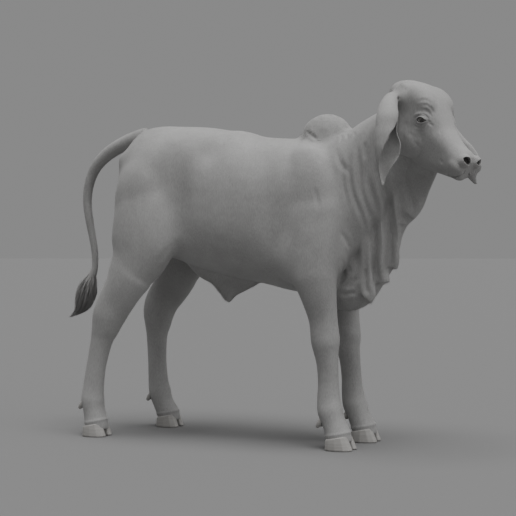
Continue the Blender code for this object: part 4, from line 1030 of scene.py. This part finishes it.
def grain(place, normal):
    """The way the coat lies: down the sides and legs, back along the spine, down the face."""
    along = Vector((-0.75, 0.0, -0.35))
    if place.z < 0.62:
        along = Vector((-0.05, 0.0, -1.0))
    if place.x > 0.64 and place.z > 0.93:
        along = HEAD.to_3x3() @ Vector((1.0, 0.0, -0.15))
    along = along - normal * along.dot(normal)
    return along.normalized() if along.length > 0.05 else normal.orthogonal().normalized()


# %% Tufts


def spike(corners, faces, root, forward, outward, length, width, lift):
    """Adds one closed spike of three rings and a tip, curving back towards the skin."""
    across = forward.cross(outward).normalized()
    first = len(corners)
    for share, size in ((0.0, 1.0), (0.35, 0.85), (0.72, 0.5)):
        rise = 0.6 * lift * length * math.sin(math.pi * min(share, 0.62) * 0.8) - 0.0006 * (share == 0)
        middle = root + forward * (length * share) + outward * rise
        for side, up in ((-0.5, 0.0), (0.5, 0.0), (0.0, 0.30)):
            corners.append(middle + across * (side * width * size) + outward * (up * width * size))
    corners.append(root + forward * length + outward * (0.45 * lift * length))
    for ring in (0, 3):
        for index in range(3):
            here, after = first + ring + index, first + ring + (index + 1) % 3
            faces.append((here, after, after + 3, here + 3))
    for index in range(3):
        faces.append((first + 6 + index, first + 6 + (index + 1) % 3, first + 9))
    faces.append((first + 2, first + 1, first))


def from_lists(name, corners, faces):
    mesh = bpy.data.meshes.new(name)
    mesh.from_pydata([tuple(corner) for corner in corners], [], faces)
    obj = bpy.data.objects.new(name, mesh)
    bpy.context.scene.collection.objects.link(obj)
    return obj


def patch_map(obj, spots, corners_each):
    """Gives every spike a patch of the map, 0.003 across, at its root's place on the skin's unwrap."""
    places = places_of(obj)
    owner = np.arange(len(places)) // corners_each
    roots = places[owner * corners_each]
    size = np.maximum(np.abs(places - roots).reshape(-1, corners_each * 3).max(axis=1), 1e-6)
    spread = (places - roots)[:, :2] / size[owner][:, None] * 0.0015
    flat = np.array(spots)[owner] + spread
    layer = obj.data.uv_layers.new(name="OFBake")
    index = np.empty(len(obj.data.loops), dtype=np.int32)
    obj.data.loops.foreach_get("vertex_index", index)
    layer.data.foreach_set("uv", flat[index].ravel().astype(np.float32))


def skin_map(obj):
    """One place on the unwrap for every point of the skin."""
    index = np.empty(len(obj.data.loops), dtype=np.int32)
    obj.data.loops.foreach_get("vertex_index", index)
    flat = np.empty(len(obj.data.loops) * 2, dtype=np.float32)
    obj.data.uv_layers["OFBake"].data.foreach_get("uv", flat)
    spots = np.zeros((len(obj.data.vertices), 2), dtype=np.float32)
    spots[index] = flat.reshape(-1, 2)
    return spots


def grow_tufts(name):
    rng = np.random.default_rng(11)
    places = places_of(hide) + np.array(ORIGIN)
    normals = np.empty(len(places) * 3)
    hide.data.vertex_normals.foreach_get("vector", normals)
    normals = normals.reshape(-1, 3)
    closed = np.array([value.value for value in hide.data.attributes["hollow"].data]) > 0.15
    spots, corners, faces, patches = skin_map(hide), [], [], []
    for centre, radii, count, length, lift in TUFT_ZONES:
        for side in SIDES.values():
            away = np.linalg.norm((places - np.array(centre) * (1, side, 1)) / np.array(radii), axis=1)
            found = np.nonzero((away < 1) & ~closed)[0]
            if not len(found):
                continue
            for index in rng.choice(found, min(count, len(found)), replace=False):
                root, outward = Vector(places[index]), Vector(normals[index])
                forward = grain(root, outward)
                forward = (forward + 0.22 * outward.cross(forward) * rng.normal()).normalized()
                scale = rng.uniform(0.6, 1.15)
                spike(corners, faces, root - ORIGIN, forward, outward, length * scale,
                      TUFT_WIDTH * rng.uniform(0.7, 1.2), lift * rng.uniform(0.5, 1.2))
                patches.append(spots[index])
    obj = from_lists(name, corners, faces)
    patch_map(obj, patches, SPIKE_CORNERS)
    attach(obj, "root")
    return obj


tufts = grow_tufts("coat_tufts")
print("tufts:", len(tufts.data.vertices) // SPIKE_CORNERS, "faces", len(tufts.data.polygons))

# %% [markdown]
# The tail ends in a brush of long strands. They start along the upper half of the brush, swell out
# round a plain core and gather in locks that sweep back to a point.

# %% The brush of the tail
SWITCH_AXIS = [  # place, and the radius of the hair's outline round it
    (-0.634, 0.0, 0.640, 0.013),
    (-0.645, 0.0, 0.612, 0.023),
    (-0.661, 0.0, 0.578, 0.036),
    (-0.671, 0.0, 0.543, 0.042),
    (-0.681, 0.0, 0.505, 0.038),
    (-0.697, 0.0, 0.470, 0.026),
    (-0.748, 0.0, 0.440, 0.007),
]
SWITCH_STRANDS = 1100
STRAND_STEPS = 9


def strand(corners, faces, course, outward, width):
    """A long flat strand along its course, pointed at the end."""
    first = len(corners)
    for index, place in enumerate(course[:-1]):
        size = width * (1 - (index / len(course)) ** 2)
        ahead = (course[index + 1] - place).normalized()
        across = ahead.cross(outward).normalized()
        for side, up in ((-0.5, 0.0), (0.5, 0.0), (0.0, 0.5)):
            corners.append(place + across * (side * size) + outward * (up * size))
    corners.append(course[-1])
    last = first + 3 * (len(course) - 2)
    for ring in range(first, last, 3):
        for index in range(3):
            here, after = ring + index, ring + (index + 1) % 3
            faces.append((here, after, after + 3, here + 3))
    for index in range(3):
        faces.append((last + index, last + (index + 1) % 3, last + 3))
    faces.append((first + 2, first + 1, first))


def brush(name):
    line = smooth_rows(SWITCH_AXIS, 0.004)
    rng = random.Random(5)
    spots = skin_map(hide)
    tree = KDTree(len(hide.data.vertices))
    for index, vert in enumerate(hide.data.vertices):
        if vert.co.x < -0.55 - ORIGIN.x:
            tree.insert(vert.co, index)
    tree.balance()
    corners, faces, patches = [], [], []
    for index in range(SWITCH_STRANDS):
        angle = index * 2.39996 + rng.uniform(-0.3, 0.3)
        lock = math.floor(angle / (2 * math.pi) * 11) * 2 * math.pi / 11
        depth = rng.uniform(0.15, 1.0) ** 0.5
        first = rng.uniform(0.0, 0.45)
        last = min(1.0, first + rng.uniform(0.40, 0.62))
        course = []
        for step in range(STRAND_STEPS):
            share = step / (STRAND_STEPS - 1)
            row = line[round((first + (last - first) * share) * (len(line) - 1))]
            gather = angle + (lock - angle) * 0.5 * share
            radius = row[3] * depth * (0.30 + 0.68 * min(1.0, share * 2.0))
            wave = 0.0016 * math.sin(5 * share + index)
            course.append(Vector((row[0] + radius * math.cos(gather) + wave,
                                  radius * math.sin(gather) + wave, row[2])) - ORIGIN)
        outward = Vector((math.cos(angle), math.sin(angle), 0.0))
        strand(corners, faces, course, outward, rng.uniform(0.0013, 0.0026))
        patches.append(spots[tree.find(course[0])[1]])
    obj = from_lists(name, corners, faces)
    patch_map(obj, patches, 3 * (STRAND_STEPS - 1) + 1)
    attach(obj, "root")
    return obj


def brush_core(name):
    """The soft middle of the brush, which fills the space between the strands."""
    bm = bmesh.new()
    rows = [(*row[:3], *[row[3] * 0.66] * 3) for row in SWITCH_AXIS[:5]]
    loft(bm, rows, sides=24, step=0.008)
    obj = new_object(name, bm)
    obj.data.transform(Matrix.Translation(-ORIGIN))
    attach(obj, "root")
    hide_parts("tail_switch")
    return obj


switch_hair = brush("switch_strands")
switch_core = brush_core("switch_core")
print("brush:", SWITCH_STRANDS, "strands,", len(switch_hair.data.polygons), "faces")

# %% [markdown]
# The paint of the coat is made of small groups of nodes. One mottles the grey, one draws the
# streaks of the short hair, and one turns streaks, pores and wrinkles into a relief.

# %% Groups of nodes
PLACE = ("Place", "NodeSocketVector", None)
HAIR_SCALE = (420.0, 420.0, 75.0)           # hairs are thin across and long down the body
WRINKLE_SCALE = (34.0, 34.0, 9.0)


def node_group(name, sockets_in, sockets_out):
    group = bpy.data.node_groups.new(name, "ShaderNodeTree")
    for label, kind, value in sockets_in:
        made = group.interface.new_socket(name=label, in_out="INPUT", socket_type=kind)
        if value is not None:
            made.default_value = value
    for label, kind in sockets_out:
        group.interface.new_socket(name=label, in_out="OUTPUT", socket_type=kind)
    group.nodes.new("NodeGroupInput").name = "in"
    group.nodes.new("NodeGroupOutput").name = "out"
    return group


def node(tree, kind, links=None, **settings):
    """A new node: settings set on it, numbers or links put into its sockets."""
    made = tree.nodes.new("ShaderNode" + kind)
    for key, value in settings.items():
        setattr(made, key, value)
    for key, value in (links or {}).items():
        if isinstance(value, bpy.types.NodeSocket):
            tree.links.new(value, made.inputs[key])
        else:
            made.inputs[key].default_value = value
    return made


def blend(tree, factor, first, second):
    """Mixes a colour socket with a set colour."""
    made = tree.nodes.new("ShaderNodeMix")
    made.data_type = "RGBA"
    tree.links.new(factor, made.inputs[0])
    tree.links.new(first, made.inputs[6])
    made.inputs[7].default_value = (*second, 1)
    return made


def vector(tree, operation, first, second):
    return node(tree, "VectorMath", {0: first, 1: second}, operation=operation)


def streaks_group():
    """Streaks of hair: noise drawn out along the vertical and fine across it, bent by a coarser one."""
    sockets = [PLACE, ("Size", "NodeSocketFloat", 1.0)]
    group = node_group("hair streaks", sockets, [("Streak", "NodeSocketFloat")])
    start = group.nodes["in"].outputs
    bend = node(group, "TexNoise", {"Vector": start["Place"], "Scale": 6.0, "Detail": 2.0})
    shift = vector(group, "MULTIPLY", bend.outputs["Color"], (0.05, 0.05, 0.05))
    moved = vector(group, "ADD", start["Place"], shift.outputs[0])
    drawn = vector(group, "MULTIPLY", moved.outputs[0], HAIR_SCALE)
    sized = node(group, "VectorMath", {0: drawn.outputs[0], "Scale": start["Size"]}, operation="SCALE")
    noise = node(group, "TexNoise", {"Vector": sized.outputs[0], "Scale": 1.0, "Detail": 4.0})
    group.links.new(noise.outputs["Fac"], group.nodes["out"].inputs["Streak"])
    return group


def coat_colour_group(streaks):
    """The mottled grey of the coat, with painted shade inside the eye slits and nostrils."""
    sockets = [PLACE, ("PaintedShade", "NodeSocketFloat", 0.0), ("Bare", "NodeSocketFloat", 0.0)]
    group = node_group("coat colour", sockets, [("Colour", "NodeSocketColor")])
    start = group.nodes["in"].outputs
    cloud = node(group, "TexNoise", {"Vector": start["Place"], "Scale": 5.0, "Detail": 5.0,
                                     "Roughness": 0.6})
    ramp = node(group, "ValToRGB", {"Fac": cloud.outputs["Fac"]})
    ramp.color_ramp.elements[0].position = 0.34
    ramp.color_ramp.elements[0].color = (*COAT_LOW, 1)
    ramp.color_ramp.elements[1].position = 0.66
    ramp.color_ramp.elements[1].color = (*COAT_HIGH, 1)
    streak = node(group, "Group", {"Place": start["Place"]}, node_tree=streaks)
    light = node(group, "MapRange", {"Value": streak.outputs[0], "From Min": 0.3, "From Max": 0.7,
                                     "To Min": 0.88, "To Max": 1.12})
    shaded = node(group, "VectorMath", {0: ramp.outputs["Color"], "Scale": light.outputs[0]},
                  operation="SCALE")
    skin = blend(group, start["Bare"], shaded.outputs[0], MUZZLE_TONE)
    # Painted shade: the insides of the eye slits and nostrils go towards near black.
    deep = blend(group, start["PaintedShade"], skin.outputs[2], PAINTED_SHADE_TONE)
    group.links.new(deep.outputs[2], group.nodes["out"].inputs["Colour"])
    return group


def relief_group(streaks):
    """Short hair, soft wrinkles and pores as one height."""
    sockets = [PLACE, ("Bare", "NodeSocketFloat", 0.0)]
    group = node_group("coat relief", sockets, [("Height", "NodeSocketFloat")])
    start = group.nodes["in"].outputs
    streak = node(group, "Group", {"Place": start["Place"]}, node_tree=streaks)
    wrinkle = vector(group, "MULTIPLY", start["Place"], WRINKLE_SCALE)
    folds = node(group, "TexNoise", {"Vector": wrinkle.outputs[0], "Scale": 1.0, "Detail": 3.0})
    pores = node(group, "TexVoronoi", {"Vector": start["Place"], "Scale": 420.0})
    fur = node(group, "Math", {0: streak.outputs[0], 1: 0.30}, operation="MULTIPLY")
    soft = node(group, "Math", {0: folds.outputs["Fac"], 1: 1.10, 2: fur.outputs[0]},
                operation="MULTIPLY_ADD")
    dots = node(group, "Math", {0: pores.outputs["Distance"], 1: start["Bare"]}, operation="MULTIPLY")
    total = node(group, "Math", {0: soft.outputs[0], 1: dots.outputs[0]}, operation="ADD")
    group.links.new(total.outputs[0], group.nodes["out"].inputs["Height"])
    return group


COAT_LOW, COAT_HIGH = (0.295, 0.292, 0.288), (0.365, 0.362, 0.358)
MUZZLE_TONE = (0.34, 0.335, 0.33)
# The near black of the painted shade inside the eye slits and nostrils.
PAINTED_SHADE_TONE = (0.030, 0.028, 0.027)
STREAKS = streaks_group()
COLOURS = coat_colour_group(STREAKS)
RELIEF = relief_group(STREAKS)
print("groups:", [group.name for group in bpy.data.node_groups])

# %% [markdown]
# The coat is the material that uses these groups. The horn and the eyes have nodes of their own,
# and the tufts and the brush are a plain colour. The tufts' grey is lighter than the coat's: painted
# light against the shade on their thin sides.

# %% Materials


def material(name, colour, roughness):
    made = bpy.data.materials.new(name)
    made.use_nodes = True
    shader = made.node_tree.nodes["Principled BSDF"]
    shader.inputs["Base Color"].default_value = (*colour, 1.0)
    shader.inputs["Roughness"].default_value = roughness
    return made


def coat_material():
    made = material("grey coat", COAT_HIGH, 0.78)
    tree = made.node_tree
    shader = tree.nodes["Principled BSDF"]
    shader.inputs["Sheen Weight"].default_value = 0.12
    shader.inputs["Specular IOR Level"].default_value = 0.32
    place = node(tree, "TexCoord").outputs["Object"]
    # The mask of painted shade inside the eye slits and nostrils.
    hollow = node(tree, "Attribute", attribute_name="hollow").outputs["Fac"]
    bare = node(tree, "Attribute", attribute_name="bare").outputs["Fac"]
    colour = node(tree, "Group", {"Place": place, "PaintedShade": hollow, "Bare": bare}, node_tree=COLOURS)
    height = node(tree, "Group", {"Place": place, "Bare": bare}, node_tree=RELIEF)
    bump = node(tree, "Bump", {"Height": height.outputs[0], "Strength": 0.55, "Distance": 0.0026})
    tree.links.new(colour.outputs[0], shader.inputs["Base Color"])
    tree.links.new(bump.outputs[0], shader.inputs["Normal"])
    return made


def horn_material():
    made = material("hoof horn", (0.50, 0.49, 0.47), 0.42)
    tree = made.node_tree
    shader = tree.nodes["Principled BSDF"]
    place = node(tree, "TexCoord").outputs["Object"]
    bands = vector(tree, "MULTIPLY", place, (12.0, 12.0, 260.0))
    noise = node(tree, "TexNoise", {"Vector": bands.outputs[0], "Scale": 1.0, "Detail": 3.0})
    ramp = node(tree, "ValToRGB", {"Fac": noise.outputs["Fac"]})
    ramp.color_ramp.elements[0].color = (0.27, 0.262, 0.25, 1)
    ramp.color_ramp.elements[1].color = (0.43, 0.42, 0.405, 1)
    bump = node(tree, "Bump", {"Height": noise.outputs["Fac"], "Strength": 0.4, "Distance": 0.0012})
    tree.links.new(ramp.outputs["Color"], shader.inputs["Base Color"])
    tree.links.new(bump.outputs[0], shader.inputs["Normal"])
    return made


def eye_material():
    made = material("eye", (0.09, 0.08, 0.07), 0.12)
    tree = made.node_tree
    shader = tree.nodes["Principled BSDF"]
    shader.inputs["Coat Weight"].default_value = 1.0
    shader.inputs["Coat Roughness"].default_value = 0.04
    look = node(tree, "Attribute", attribute_name="pupil").outputs["Fac"]
    ramp = node(tree, "ValToRGB", {"Fac": look})
    ramp.color_ramp.elements[0].position = 0.78
    ramp.color_ramp.elements[0].color = (0.22, 0.21, 0.20, 1)
    ramp.color_ramp.elements[1].position = 0.955
    ramp.color_ramp.elements[1].color = (0.012, 0.011, 0.010, 1)
    for position, tone in ((0.80, 0.075), (0.84, 0.13), (0.945, 0.085)):
        stop = ramp.color_ramp.elements.new(position)
        stop.color = (tone, tone * 0.93, tone * 0.85, 1)
    tree.links.new(ramp.outputs["Color"], shader.inputs["Base Color"])
    return made


COAT = coat_material()
HORN = horn_material()
HAIR = material("switch hair", (0.31, 0.305, 0.30), 0.6)
EYE = eye_material()


def finish(obj, made):
    obj.data.materials.clear()
    obj.data.materials.append(made)
    for polygon in obj.data.polygons:
        polygon.use_smooth = True


finish(hide, COAT)
# The tufts are painted lighter than the coat, a painted highlight that offsets the shade on them.
finish(tufts, material("coat tufts", (0.39, 0.386, 0.38), 0.85))
finish(switch_hair, HAIR)
for obj in eyeballs:
    finish(obj, EYE)
for obj in horns:
    finish(obj, HORN)
finish(switch_core, HAIR)

# %% [markdown]
# A plain grey sheet lies under the animal and runs to the horizon, and the world is nearly the
# same grey. A broad high sun gives soft shade from above, and a weak low one lights the front.

# %% Floor, light and camera
bm = bmesh.new()
bmesh.ops.create_grid(bm, x_segments=1, y_segments=1, size=1500.0)
floor = new_object("floor", bm)
finish(floor, material("floor", (0.176, 0.176, 0.176), 0.9))

world = bpy.data.worlds.new("studio")
bpy.context.scene.world = world
world.use_nodes = True
world.node_tree.nodes["Background"].inputs["Color"].default_value = (0.26, 0.26, 0.26, 1)
world.node_tree.nodes["Background"].inputs["Strength"].default_value = 1.0


def sun(name, bearing, height, strength, spread):
    """A sun that shines from a bearing and a height above the horizon, both in degrees."""
    lamp = bpy.data.lights.new(name, "SUN")
    lamp.energy = strength
    lamp.angle = math.radians(spread)
    obj = bpy.data.objects.new(name, lamp)
    turn, rise = math.radians(bearing), math.radians(height)
    towards = Vector((math.cos(turn) * math.cos(rise), math.sin(turn) * math.cos(rise), math.sin(rise)))
    obj.rotation_euler = towards.to_track_quat("Z", "Y").to_euler()
    bpy.context.scene.collection.objects.link(obj)
    return obj


sun("key", 300.0, 79.0, 3.4, 44.0)
sun("front fill", 352.0, 20.0, 0.7, 60.0)

CAMERA_BEARING = math.radians(24.4)
CAMERA_PLACE = Vector((1.949, -4.127, 0.678)) - ORIGIN
lens = bpy.data.cameras.new("camera")
lens.lens = 85.0
lens.sensor_width = 36.0
lens.clip_end = 3000.0
camera = bpy.data.objects.new("camera", lens)
camera.location = CAMERA_PLACE
camera.rotation_euler = (math.pi / 2, 0.0, CAMERA_BEARING)
bpy.context.scene.collection.objects.link(camera)
bpy.context.scene.camera = camera
print("camera stands", round(CAMERA_PLACE.length, 2), "m from the animal")
